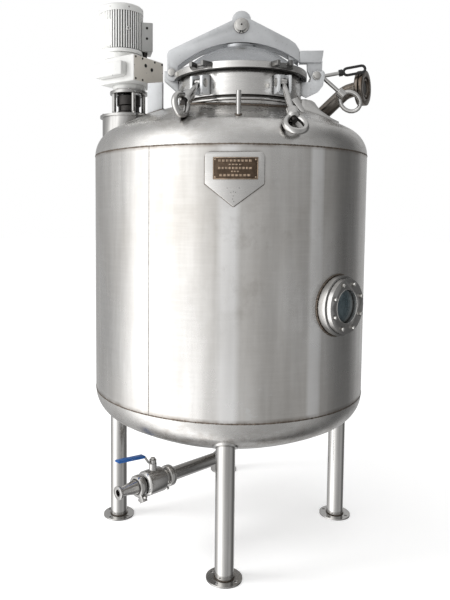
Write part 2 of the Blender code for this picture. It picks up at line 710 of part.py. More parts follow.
def make_clevis(name, frame):
    """Two cheeks on a web, with the pivot pin between them."""
    inner = -0.060
    face = RING_RADIUS + 0.009 - PIVOT_RADIUS
    cheek_in = CLEVIS_HALF_WIDTH - CHEEK_THICK
    low, high = CLEVIS_BOTTOM, CLEVIS_TOP - 0.003
    web_low = (inner, -cheek_in - 0.001, low)
    clevis = box(name, "blasted_steel", web_low, (face, cheek_in + 0.001, high), frame)
    outline = [(inner, CLEVIS_BOTTOM), (0.011, 1.716), (0.0185, 1.719), (CLEVIS_OUT, 1.727)]
    outline += [(CLEVIS_OUT, 1.771), (0.020, 1.777), (0.014, 1.7795), (inner, CLEVIS_TOP)]
    for side in (-1, 1):
        middle = Matrix.Translation((0, side * (CLEVIS_HALF_WIDTH - CHEEK_THICK / 2), 0))
        upright = frame @ middle @ Matrix.Rotation(math.pi / 2, 4, "X")
        label = name + ("_cheek_a" if side < 0 else "_cheek_b")
        join(clevis, plate(label, "blasted_steel", outline, CHEEK_THICK, upright))
    pin_half = CLEVIS_HALF_WIDTH + 0.004
    pin_from, pin_to = (0, -pin_half, PIVOT_Z), (0, pin_half, PIVOT_Z)
    join(clevis, rod(name + "_pin", "blasted_steel", PIVOT_PIN, pin_from, pin_to, 12, frame))
    cut(clevis, ring_cutter(name + "_ring_fit"), dome_cutter(name + "_head_fit", GAP))


def make_fork(name, frame):
    """An ear on the lid's rim with a slot for the swing bolt's shank."""
    outline = [(-0.045, -0.050), (-0.020, -0.044), (FORK_OUT, -0.0277), (FORK_OUT, -FORK_SLOT)]
    outline += [(FORK_SLOT_END, -FORK_SLOT), (FORK_SLOT_END, FORK_SLOT)]
    outline += [(FORK_OUT, FORK_SLOT), (FORK_OUT, 0.0277), (-0.020, 0.044), (-0.045, 0.050)]
    flat = frame @ Matrix.Translation((0, 0, (FORK_BOTTOM + FORK_TOP) / 2))
    fork = plate(name, "blasted_steel", outline, FORK_TOP - FORK_BOTTOM, flat)
    rim = RIM_RADIUS + GAP
    fit = [(0, 1.86), (rim, 1.86), (rim, 1.79), (0, 1.79)]
    axis = Matrix.Translation((MANWAY_X, MANWAY_Y, 0))
    cut(fork, turned(name + "_rim_fit", "blasted_steel", fit, MANWAY_SIDES, axis))


def rod_frame(offset, angle):
    """A frame at the loose rods' pin with Z along the rod and Y along the pin."""
    at = Matrix.Translation((ROD_PIVOT[0], MANWAY_Y + offset, ROD_PIVOT[1]))
    return at @ Matrix.Rotation(math.radians(90 - angle), 4, "Y")


def make_loose_rods():
    """Two eye rods on the rear pin, one with a dipped loop and one with an eye nut."""
    half = ROD_EYE_WIDE / 2
    eye_from, eye_to = (0, -half, 0), (0, half, 0)
    frame = rod_frame(LOOP_ROD_Y, LOOP_ROD_ANGLE)
    loop_rod = rod("loop_rod", "bright_steel", ROD_EYE_RADIUS, eye_from, eye_to, 16, frame)
    near_end = LOOP_CENTRE - LOOP_LONG / 2
    shank = rod("loop_rod_shank", "bright_steel", 0.0075, (0, 0, 0.005), (0, 0, near_end - 0.002), 12, frame)
    cut(join(loop_rod, shank), rod_bore("loop_rod_bore", frame))
    reach = LOOP_LONG / 2 - LOOP_WIDE / 2
    bar_line = LOOP_WIDE / 2 - LOOP_BAR
    ends = arc((LOOP_CENTRE + reach, 0), bar_line, -90, 90, 6) + arc((LOOP_CENTRE - reach, 0), bar_line, 90, 270, 6)
    points = [frame @ Vector((across, 0.0, distance)) for distance, across in ends]
    loop = pipe("rod_loop", "dipped_plastic", points, LOOP_BAR, sides=2, closed=True)
    collar_from, collar_to = (0, 0, near_end - 0.013), (0, 0, near_end + 0.0015)
    join(loop, rod("rod_loop_collar", "dipped_plastic", 0.0135, collar_from, collar_to, 12, frame))
    socket_to = (0, 0, near_end - 0.002 + GAP)
    cut(loop, rod("rod_loop_socket", "dipped_plastic", 0.0078, (0, 0, 0.0), socket_to, 12, frame))
    frame = rod_frame(EYE_ROD_Y, EYE_ROD_ANGLE)
    eye_rod = rod("eye_rod", "bright_steel", ROD_EYE_RADIUS, eye_from, eye_to, 16, frame)
    shank = rod("eye_rod_shank", "bright_steel", SHANK_RADIUS, (0, 0, 0.005), (0, 0, 0.110), 12, frame)
    nut_frame = frame @ Matrix.Rotation(math.radians(EYE_ROD_TURN), 4, "Z")
    join(eye_rod, shank, *eye_nut("eye_rod_nut", "bright_steel", nut_frame, 0.094, 0.156))
    cut(eye_rod, rod_bore("eye_rod_bore", frame))


def rod_bore(name, frame):
    return rod(name, "bright_steel", HINGE_PIN_RADIUS + BORE_PLAY, (0, -0.05, 0), (0, 0.05, 0), 16, frame)


def make_head_fittings():
    """Lugs, the front post and the bent nozzle on the top head."""
    left_frame = Matrix.Translation((-0.291, -0.150, 0)) @ Matrix.Rotation(math.radians(-15), 4, "Z")
    left = box("lug_left", "blasted_steel", (-0.031, -0.008, 1.60), (0.031, 0.008, 1.802), left_frame, 0.0015)
    cut(left, dome_cutter("lug_left_fit", GAP))
    outline = [(0.268, 1.60), (0.419, 1.60), (0.419, 1.650), (0.39, 1.664), (0.348, 1.693), (0.339, 1.704), (0.326, 1.722)]
    outline += [(0.315, 1.730), (0.290, 1.7355), (0.272, 1.7355)]
    right_frame = Matrix.Translation((0, -0.150, 0)) @ Matrix.Rotation(math.pi / 2, 4, "X")
    right = plate("lug_right", "blasted_steel", outline, 0.010, right_frame)
    cut(right, dome_cutter("lug_right_fit", GAP), ring_cutter("lug_right_ring_fit"))
    bar_outline = [(0.2195, 1.7054), (0.2415, 1.7124), (0.268, 1.668), (0.266, 1.60), (0.250, 1.60), (0.2535, 1.662)]
    bar = plate("lug_bar", "bright_steel", bar_outline, 0.010, standing(-0.198, -0.188))
    cut(bar, dome_cutter("lug_bar_fit", GAP))
    post = rod("front_post", "bright_steel", 0.0085, (0.029, -0.476, 1.58), (0.029, -0.476, 1.7066), 16)
    cut(post, dome_cutter("front_post_fit", GAP))
    flange_at = ELBOW_CORNER + ELBOW_FLANGE_DIR * ELBOW_FLANGE_OUT
    flange_at.z = ELBOW_FLANGE_Z
    half = ELBOW_DISC + 0.0015
    end = flange_at - ELBOW_FLANGE_DIR * (half + GAP)
    path = bend(ELBOW_FOOT, ELBOW_CORNER, end - ELBOW_FLANGE_DIR * 0.010, ELBOW_BEND) + [end]
    nozzle = pipe("elbow_nozzle", "heat_tinted_steel", path, ELBOW_RADIUS, sides=6)
    cut(nozzle, dome_cutter("elbow_fit", GAP))
    radius, neck = ELBOW_FLANGE_RADIUS, ELBOW_FLANGE_RADIUS - 0.012
    floor = half - ELBOW_RECESS_DEEP
    profile = [
        (0.0, floor),
        (ELBOW_RECESS, floor),
        (ELBOW_RECESS, half),
        (radius, half),
        (radius, half - ELBOW_DISC),
        (neck, half - ELBOW_DISC),
        (neck, ELBOW_DISC - half),
        (radius, ELBOW_DISC - half),
        (radius, -half),
        (0.0, -half),
    ]
    frame = along(flange_at, flange_at + ELBOW_FLANGE_DIR)
    turned("elbow_flange", "heat_tinted_steel", profile, 28, frame)


def make_agitator():
    """Nozzle, lantern, gearbox, motor and the shaft that turns."""
    axis = Matrix.Translation((AGITATOR_X, AGITATOR_Y, 0))
    hole = SHAFT_RADIUS + SHAFT_CLEARANCE
    low, high = AGITATOR_FLANGE_BOTTOM, AGITATOR_FLANGE_TOP
    inner = AGITATOR_PIPE - 0.004
    profile = [
        (AGITATOR_FLANGE, high),
        (AGITATOR_FLANGE, low),
        (AGITATOR_PIPE, low),
        (AGITATOR_PIPE, 1.50),
        (inner, 1.50),
        (inner, low),
        (hole, low),
        (hole, high),
    ]
    nozzle = turned("agitator_nozzle", "bright_steel", profile, 32, axis, closed=True)
    cut(nozzle, dome_cutter("agitator_fit", GAP))
    ring = [(LANTERN_PLATE, LANTERN_TOP), (LANTERN_PLATE, LANTERN_BOTTOM), (hole, LANTERN_BOTTOM), (hole, LANTERN_TOP)]
    lantern = turned("agitator_lantern", "bright_steel", ring, 24, axis, closed=True)
    for number, angle in enumerate(LANTERN_ANGLES):
        x = LANTERN_CIRCLE * math.cos(math.radians(angle))
        y = LANTERN_CIRCLE * math.sin(math.radians(angle))
        foot, top = (x, y, high + GAP), (x, y, LANTERN_TOP - 0.004)
        label = "lantern_column_%d" % number
        join(lantern, rod(label, "bright_steel", LANTERN_COLUMN, foot, top, 12, axis))
    make_gearbox(axis)
    make_motor()
    make_shaft(axis)


def make_gearbox(axis):
    turn = Matrix.Rotation(math.radians(GEARBOX_TURN), 4, "Z")
    frame = Matrix.Translation((GEARBOX_X, GEARBOX_Y, 0)) @ turn
    half_long, half_wide = GEARBOX_LONG / 2, GEARBOX_WIDE / 2
    low = (-half_long, -half_wide, GEARBOX_BOTTOM)
    gearbox = box("gearbox", "drive_paint", low, (half_long, half_wide + 0.007, GEARBOX_TOP), frame, 0.006)
    cover_low = (-half_long, -half_wide - 0.032, 1.856)
    cover_high = (half_long - 0.040, -half_wide + 0.010, 1.914)
    cover = box("gearbox_cover", "drive_paint", cover_low, cover_high, frame, 0.009)
    boss_bottom = (0, 0, LANTERN_TOP + GAP)
    boss = rod("gearbox_boss", "drive_paint", 0.068, boss_bottom, (0, 0, GEARBOX_BOTTOM + 0.01), 24, axis)
    join(gearbox, cover, boss)
    bore_radius = SHAFT_RADIUS + BORE_PLAY
    cut(gearbox, rod("gearbox_bore", "drive_paint", bore_radius, (0, 0, 1.79), (0, 0, SHAFT_TOP + 0.003), 16, axis))


def make_motor():
    frame = Matrix.Translation((MOTOR_X, MOTOR_Y, 0))
    foot = MOTOR_RADIUS - 0.008
    profile = [
        (0.0, MOTOR_TOP),
        (MOTOR_RADIUS, MOTOR_TOP),
        (MOTOR_RADIUS, MOTOR_BOTTOM),
        (foot, MOTOR_BOTTOM),
        (foot, GEARBOX_TOP + GAP),
        (0.0, GEARBOX_TOP + GAP),
    ]
    turned("motor", "drive_paint", profile, 32, frame)
    low = MOTOR_TOP + GAP
    cowl = [(0.0, COWL_TOP), (0.055, COWL_TOP - 0.001), (0.083, COWL_TOP - 0.005), (COWL_RADIUS, COWL_TOP - 0.014)]
    turned("fan_cowl", "drive_paint", cowl + [(COWL_RADIUS, low), (0.0, low)], 32, frame)
    side = frame @ Matrix.Rotation(math.radians(TERMINAL_TURN), 4, "Z")
    terminal = box("terminal_box", "drive_paint", (0.080, -0.045, 1.980), (0.131, 0.045, 2.101), side, 0.003)
    fit = [(0.0, 2.2), (MOTOR_RADIUS + GAP, 2.2), (MOTOR_RADIUS + GAP, 1.9), (0.0, 1.9)]
    cut(terminal, turned("terminal_fit", "drive_paint", fit, 32, frame))


def make_shaft(axis):
    """The shaft with its hub and three pitched blades, on the turning axis."""
    at_bottom = Matrix.Translation((0, 0, SHAFT_BOTTOM))
    length = SHAFT_TOP - SHAFT_BOTTOM
    frame = axis @ at_bottom
    shaft = rod("agitator_shaft", "bright_steel", SHAFT_RADIUS, (0, 0, 0), (0, 0, length), 16, frame)
    join(shaft, rod("agitator_hub", "bright_steel", 0.026, (0, 0, 0.008), (0, 0, 0.052), 16, frame))
    for number in range(3):
        pitch = Matrix.Rotation(math.radians(35), 4, "X")
        turn = Matrix.Rotation(math.radians(120 * number + 20), 4, "Z")
        blade_frame = frame @ turn @ Matrix.Translation((0, 0, 0.030)) @ pitch
        low, high = (0.012, -0.022, -0.003), (BLADE_REACH - 0.003, 0.022, 0.003)
        join(shaft, box("agitator_blade_%d" % number, "bright_steel", low, high, blade_frame))


def make_sight_glass():
    frame = sight_frame()
    seat = SIGHT_BASE_FACE - GLASS_THICK - 0.001
    glass_low, glass_high = seat + GAP, SIGHT_BASE_FACE - 0.001 + GAP
    pocket = GLASS_RADIUS + GAP
    profile = [
        (SIGHT_FLANGE_RADIUS, SIGHT_FACE),
        (SIGHT_FLANGE_RADIUS, SIGHT_BASE_FACE),
        (SIGHT_BASE_RADIUS, SIGHT_BASE_FACE),
        (SIGHT_BASE_RADIUS, 0.50),
        (SIGHT_BORE, 0.50),
        (SIGHT_BORE, seat),
        (pocket, seat),
        (pocket, glass_high + GAP),
        (SIGHT_BORE, glass_high + GAP),
        (SIGHT_BORE, SIGHT_FACE),
    ]
    flange = turned("sight_flange", "bright_steel", profile, 32, frame, closed=True)
    outside = SHELL_RADIUS + GAP
    fit = [(0.0, SHELL_TOP), (outside, SHELL_TOP), (outside, SHELL_BOTTOM), (0.0, SHELL_BOTTOM)]
    cut(flange, turned("sight_shell_fit", "bright_steel", fit, SHELL_SIDES))
    glass = [(0.0, glass_high), (GLASS_RADIUS, glass_high), (GLASS_RADIUS, glass_low), (0.0, glass_low)]
    turned("sight_glass", "sight_glass", glass, 32, frame)


def make_nameplate():
    """A five-sided pad on the shell's front with a plate on it."""
    left, right, top, side_end = -0.080, 0.115, 1.494, 1.390
    corner = 0.016
    outline = [(left, side_end), (0.015, 1.315), (right, side_end)]
    outline += arc((right - corner, top - corner), corner, 0, 90, 4)
    outline += arc((left + corner, top - corner), corner, 90, 180, 4)
    front, behind = -SHELL_RADIUS - 0.008, -SHELL_RADIUS + 0.040
    frame = Matrix.Translation((0, (front + behind) / 2, 0)) @ Matrix.Rotation(math.pi / 2, 4, "X")
    pad = plate("nameplate_pad", "brushed_steel", outline, behind - front, frame)
    outside = SHELL_RADIUS + GAP
    fit = [(0.0, SHELL_TOP), (outside, SHELL_TOP), (outside, SHELL_BOTTOM), (0.0, SHELL_BOTTOM)]
    cut(pad, turned("pad_shell_fit", "brushed_steel", fit, SHELL_SIDES))
    low, high = (-0.053, front - GAP - 0.003, 1.404), (0.094, front - GAP, 1.476)
    box("nameplate", "bronze", low, high, bevel=0.0008)


def outlet_frame():
    return along(outlet_point(0), outlet_point(1))


def make_outlet():
    """The bent outlet pipe, the ball valve with its clamps and lever, and the reducer."""
    top = Vector((0, 0, SHELL_BOTTOM - HEAD_DEPTH + 0.012))
    path = bend(top, outlet_point(0), outlet_point(OUTLET_END), OUTLET_BEND, 7)
    tube = pipe("outlet_pipe", "bright_steel", path, OUTLET_RADIUS, wall=0.002, sides=4)
    frame = outlet_frame()
    low, high = OUTLET_END - FERRULE_THICK, OUTLET_END
    inner = OUTLET_RADIUS - 0.001
    flange = [(FERRULE_RADIUS, high), (FERRULE_RADIUS, low), (inner, low), (inner, high)]
    join(tube, turned("outlet_pipe_ferrule", "bright_steel", flange, 20, frame, closed=True))
    cut(tube, dome_cutter("outlet_pipe_fit", GAP, top=False))
    make_valve(frame)
    make_clamp("clamp_inner", OUTLET_END + GAP / 2, -28.0)
    make_clamp("clamp_outer", VALVE_OUT + GAP / 2, 34.0)
    start_at = VALVE_OUT + GAP
    tip = 0.0255
    profile = [
        (tip, REDUCER_END),
        (tip, REDUCER_END - TIP_THICK),
        (0.0155, REDUCER_END - TIP_THICK - 0.001),
        (0.0155, 0.545),
        (OUTLET_RADIUS + 0.001, start_at + 0.014),
        (OUTLET_RADIUS + 0.001, start_at + FERRULE_THICK),
        (FERRULE_RADIUS, start_at + FERRULE_THICK),
        (FERRULE_RADIUS, start_at),
        (OUTLET_RADIUS - 0.001, start_at),
        (OUTLET_RADIUS - 0.001, start_at + 0.013),
        (0.0125, 0.545),
        (0.0125, REDUCER_END),
    ]
    turned("outlet_reducer", "bright_steel", profile, 20, frame, closed=True)
    make_lever()


def make_valve(frame):
    """The valve's body between its ferrules, with the stem's bonnet on top."""
    low, high = OUTLET_END + GAP, VALVE_OUT
    body_low, body_high = VALVE_CENTRE - VALVE_HALF, VALVE_CENTRE + VALVE_HALF
    neck = OUTLET_RADIUS + 0.0015
    profile = [
        (0.0, high),
        (FERRULE_RADIUS, high),
        (FERRULE_RADIUS, high - FERRULE_THICK),
        (neck, high - FERRULE_THICK),
        (neck, body_high + 0.006),
        (VALVE_RADIUS - 0.006, body_high),
        (VALVE_RADIUS, body_high - 0.006),
        (VALVE_RADIUS, body_low + 0.006),
        (VALVE_RADIUS - 0.006, body_low),
        (neck, body_low - 0.006),
        (neck, low + FERRULE_THICK),
        (FERRULE_RADIUS, low + FERRULE_THICK),
        (FERRULE_RADIUS, low),
        (0.0, low),
    ]
    valve = turned("valve_body", "bright_steel", profile, 24, frame)
    stem_foot = outlet_point(VALVE_CENTRE, OUTLET_Z + 0.030)
    bonnet_top = outlet_point(VALVE_CENTRE, STEM_TOP - 0.012)
    stem_tip = outlet_point(VALVE_CENTRE, STEM_TOP + 0.010)
    join(
        valve,
        rod("valve_bonnet", "bright_steel", 0.015, stem_foot, bonnet_top, 16),
        rod("valve_stem", "bright_steel", 0.006, stem_foot, stem_tip, 12),
    )


def make_clamp(name, centre, lean):
    """A clamp ring round two ferrules, with its closing bolt leaning from straight below."""
    frame = outlet_frame()
    half = CLAMP_WIDE / 2
    inner, lip = FERRULE_RADIUS + GAP, OUTLET_RADIUS + 0.0030
    groove = FERRULE_THICK + 0.0008
    profile = [
        (CLAMP_RADIUS - 0.003, centre + half),
        (CLAMP_RADIUS, centre + half - 0.004),
        (CLAMP_RADIUS, centre - half + 0.004),
        (CLAMP_RADIUS - 0.003, centre - half),
        (lip, centre - half),
        (lip, centre - groove),
        (inner, centre - groove),
        (inner, centre + groove),
        (lip, centre + groove),
        (lip, centre + half),
    ]
    clamp = turned(name, "bright_steel", profile, 24, frame, closed=True)
    down = frame.to_3x3().inverted() @ Vector((0.0, 0.0, -1.0))
    at_ears = frame @ Matrix.Rotation(math.radians(lean), 4, "Z") @ Matrix.Translation((0, 0, centre))
    under = down * (CLAMP_RADIUS + 0.007)
    side = down.cross(Vector((0.0, 0.0, 1.0)))
    turn = Matrix.Rotation(math.atan2(side.y, side.x), 4, "Z")
    ear_frame = at_ears @ Matrix.Translation(under) @ turn
    ears = box(name + "_ears", "bright_steel", (-0.012, -0.013, -0.010), (0.012, 0.013, 0.010), ear_frame)
    bolt = rod(name + "_bolt", "bright_steel", 0.0055, (-0.026, 0, 0), (0.026, 0, 0), 10, ear_frame)
    join(clamp, ears, bolt)


def make_lever():
    """The valve's lever: a hub on the stem, a cranked neck and a sleeved grip."""
    turn = math.atan2(OUTLET_DIR.y, OUTLET_DIR.x)
    at_stem = Matrix.Translation(outlet_point(VALVE_CENTRE, 0.0)) @ Matrix.Rotation(turn, 4, "Z")
    low = STEM_TOP - 0.012 + GAP
    hub = [(0.014, low + 0.014), (0.014, low), (0.006 + BORE_PLAY, low), (0.006 + BORE_PLAY, low + 0.014)]
    lever = turned("valve_lever", "bright_steel", hub, 16, at_stem, closed=True)
    thick = 0.004
    neck = [(0.009, low + 0.002), (0.020, low + 0.002), (0.044, 0.369), (0.060, 0.3705)]
    neck += [(0.060, 0.3705 + thick), (0.042, 0.369 + thick), (0.018, low + 0.002 + thick), (0.009, low + 0.006)]
    upright = at_stem @ Matrix.Rotation(math.pi / 2, 4, "X")
    join(lever, plate("valve_lever_neck", "bright_steel", neck, 0.018, upright))
    grip = [(0.046, 0.3665), (0.165, 0.3775), (0.171, 0.382), (0.165, 0.3865), (0.046, 0.3765)]
    sleeve = plate("lever_grip", "blue_sleeve", grip, 0.024, upright)
    pocket = [(0.030, 0.3600), (0.0415, 0.3683), (0.0605, 0.3700), (0.0605, 0.3752), (0.0415, 0.3734), (0.030, 0.3734)]
    cut(sleeve, plate("lever_grip_pocket", "blue_sleeve", pocket, 0.0186, upright))


def main():
    start()
    make_shell()
    make_heads()
    make_legs()
    make_manway()
    make_lid()
    make_yoke()
    make_hinge_side()
    make_latch_bracket()
    make_swing_bolts()
    make_loose_rods()
    make_head_fittings()
    make_agitator()
    make_sight_glass()
    make_nameplate()
    make_outlet()


main()
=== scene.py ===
"""Looks of the stainless mixing vessel, laid out as a Blender add-on.

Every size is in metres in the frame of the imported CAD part: +Z up, the floor at z = 0, the front
facing -Y. The CAD nodes give the shapes, and the pieces made here stand on them.
"""
import math

import bmesh
import bpy
from mathutils import Matrix, Vector
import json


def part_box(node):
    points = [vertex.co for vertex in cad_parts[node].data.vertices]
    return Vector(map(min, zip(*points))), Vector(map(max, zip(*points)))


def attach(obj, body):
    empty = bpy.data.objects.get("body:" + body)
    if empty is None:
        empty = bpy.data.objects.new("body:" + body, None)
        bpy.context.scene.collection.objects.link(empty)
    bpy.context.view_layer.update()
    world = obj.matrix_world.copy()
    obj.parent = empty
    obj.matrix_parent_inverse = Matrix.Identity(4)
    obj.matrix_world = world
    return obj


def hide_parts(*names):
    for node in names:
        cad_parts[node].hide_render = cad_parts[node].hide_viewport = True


bl_info = {
    "name": "Stainless mixing vessel",
    "version": (1, 0, 0),
    "blender": (4, 5, 0),
    "location": "3D View > Sidebar > Vessel",
    "description": "Dresses the packed vessel with its metal, paint, welds, bolts and studio",
    "category": "Object",
}

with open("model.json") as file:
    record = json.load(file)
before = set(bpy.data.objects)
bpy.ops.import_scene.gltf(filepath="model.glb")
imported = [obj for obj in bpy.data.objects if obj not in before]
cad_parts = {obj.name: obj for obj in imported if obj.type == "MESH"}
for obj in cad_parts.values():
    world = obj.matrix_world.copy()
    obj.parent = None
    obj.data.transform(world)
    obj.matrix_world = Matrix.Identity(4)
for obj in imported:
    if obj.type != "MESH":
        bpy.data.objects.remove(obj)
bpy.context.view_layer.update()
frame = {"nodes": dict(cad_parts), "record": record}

NODES = frame["nodes"]
BODY_OF = {n: b for b, names in frame["record"]["behaviour"]["bodies"].items() for n in names}

# Camera fitted to the photograph
CAMERA_AT = Vector((0.0, -2.5824, 1.2827))
CAMERA_HEADING = -0.0638
CAMERA_PITCH = 0.0705
CAMERA_ROLL = 0.0067
CAMERA_LENS = 36.9
CAMERA_SHIFT = (0.060, -0.067)

# Main sizes read from the frame
SHELL_LOW, SHELL_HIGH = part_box("shell")
SHELL_RADIUS = 0.550
SEAM_TOP = SHELL_HIGH.z
SEAM_BOTTOM = SHELL_LOW.z
HEAD_DEPTH = 0.223
KNUCKLE = 0.111
WALL = 0.005
NECK_LOW, NECK_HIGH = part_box("manway_neck")
MANWAY = Vector(((NECK_LOW.x + NECK_HIGH.x) / 2, (NECK_LOW.y + NECK_HIGH.y) / 2, 0.0))
LID_LOW, LID_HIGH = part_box("lid")
RIM_TOP = 1.832
RING_LOW = 1.715
NOZZLE_LOW, NOZZLE_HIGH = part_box("agitator_nozzle")
AGITATOR = Vector(((NOZZLE_LOW.x + NOZZLE_HIGH.x) / 2, (NOZZLE_LOW.y + NOZZLE_HIGH.y) / 2, 0.0))
MOTOR_LOW, MOTOR_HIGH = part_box("motor")
MOTOR = Vector(((MOTOR_LOW.x + MOTOR_HIGH.x) / 2, (MOTOR_LOW.y + MOTOR_HIGH.y) / 2, 0.0))
SIGHT_ANGLE = math.radians(-45.0)
SIGHT_Z = 0.972
SIGHT_FACE = 0.591
OUTLET_Z = 0.262
GEAR_AT = Vector((-0.421, 0.070, 0.0))
GEAR_TURN = math.radians(-32.0)
GEAR_HALF = 0.095
VALVE_MIDDLE, VALVE_HALF = 0.400, 0.0432

# Eye nuts: centre of the ring from the pin, and the ring's turn in degrees
EYE_NUTS = {
    "front_right": (0.222, 0.0), "front_left": (0.157, 80.0), "rear_right": (0.154, 0.0), "rear_left": (0.154, 0.0),
}
SHANK = 0.0105
NUT_BOSS_BACK = 0.072
NUT_ALONG = 0.0385
# Hinged ends: radius, half width and bore
BOLT_EYE = (0.0155, 0.0118, 0.0074)
# Eye nuts: radius of the boss, half width of the ring and radius of its bar
BOLT_NUT = (0.0240, 0.0340, 0.0115)

# What polished metal sees round it: degrees from the front, positive to the right, and brightness
STUDIO_WALLS = (
    (-180, 0.50), (-150, 0.50), (-115, 0.60), (-92, 1.0), (-70, 2.1), (-40, 2.3), (-24, 1.3), (-8, 0.85),
    (12, 0.58), (40, 0.42), (62, 0.50), (78, 0.40), (100, 0.13), (122, 0.16), (140, 0.50), (160, 0.60),
    (180, 0.50),
)
CEILING_SHINE = (0.80, 0.80, 0.80)
HORIZON_LIGHT = 0.10
ZENITH_LIGHT = 1.35
LEFT_SHARE = 1.25
RIGHT_SHARE = 0.65

MATERIALS = {}


class VesselSettings(bpy.types.PropertyGroup):
    """Sizes and colours of the vessel's body."""

    segments: bpy.props.IntProperty(
        name="Segments", description="Sides of the turned shell and heads", default=160, min=48, max=256
    )
    weld_bead: bpy.props.FloatProperty(
        name="Weld bead", description="Width of the seam welds", default=0.0065, unit="LENGTH"
    )
    steel: bpy.props.FloatVectorProperty(
        name="Steel", description="Colour of the brushed shell", default=(0.60, 0.59, 0.575), size=3,
        subtype="COLOR",
    )
    tint: bpy.props.FloatVectorProperty(
        name="Heat tint", description="Brown of the steel beside welds", default=(0.20, 0.155, 0.12), size=3,
        subtype="COLOR",
    )


class FittingSettings(bpy.types.PropertyGroup):
    """Sizes and colours of the fittings."""

    edge: bpy.props.FloatProperty(
        name="Edge", description="Rounding of the plates' edges", default=0.0012, unit="LENGTH"
    )
    plate: bpy.props.FloatVectorProperty(
        name="Plate", description="Colour of the blasted plates", default=(0.60, 0.61, 0.62), size=3,
        subtype="COLOR",
    )
    sleeve: bpy.props.FloatVectorProperty(
        name="Sleeve", description="Colour of the lever's sleeve", default=(0.008, 0.10, 0.36), size=3,
        subtype="COLOR",
    )
    sight_bolts: bpy.props.IntProperty(
        name="Sight bolts", description="Cap bolts round the sight glass", default=8, min=4, max=16
    )


class DriveSettings(bpy.types.PropertyGroup):
    """Sizes and colours of the agitator's drive."""

    fins: bpy.props.IntProperty(
        name="Fins", description="Cooling fins round the motor", default=54, min=12, max=80
    )
    fin_deep: bpy.props.FloatProperty(
        name="Fin depth", description="How far a fin stands out", default=0.010, unit="LENGTH"
    )
    paint: bpy.props.FloatVectorProperty(
        name="Paint", description="Colour of the drive's enamel", default=(0.80, 0.80, 0.78), size=3,
        subtype="COLOR",
    )


class StudioSettings(bpy.types.PropertyGroup):
    """The floor and the light."""

    floor: bpy.props.FloatProperty(
        name="Floor", description="Side of the square floor", default=60.0, unit="LENGTH"
    )
    backdrop: bpy.props.FloatVectorProperty(
        name="Backdrop", description="Colour of the floor and background", default=(0.93, 0.93, 0.93),
        size=3, subtype="COLOR",
    )
    key: bpy.props.FloatProperty(
        name="Key", description="Power of the main soft light", default=95.0, min=0.0, unit="POWER"
    )


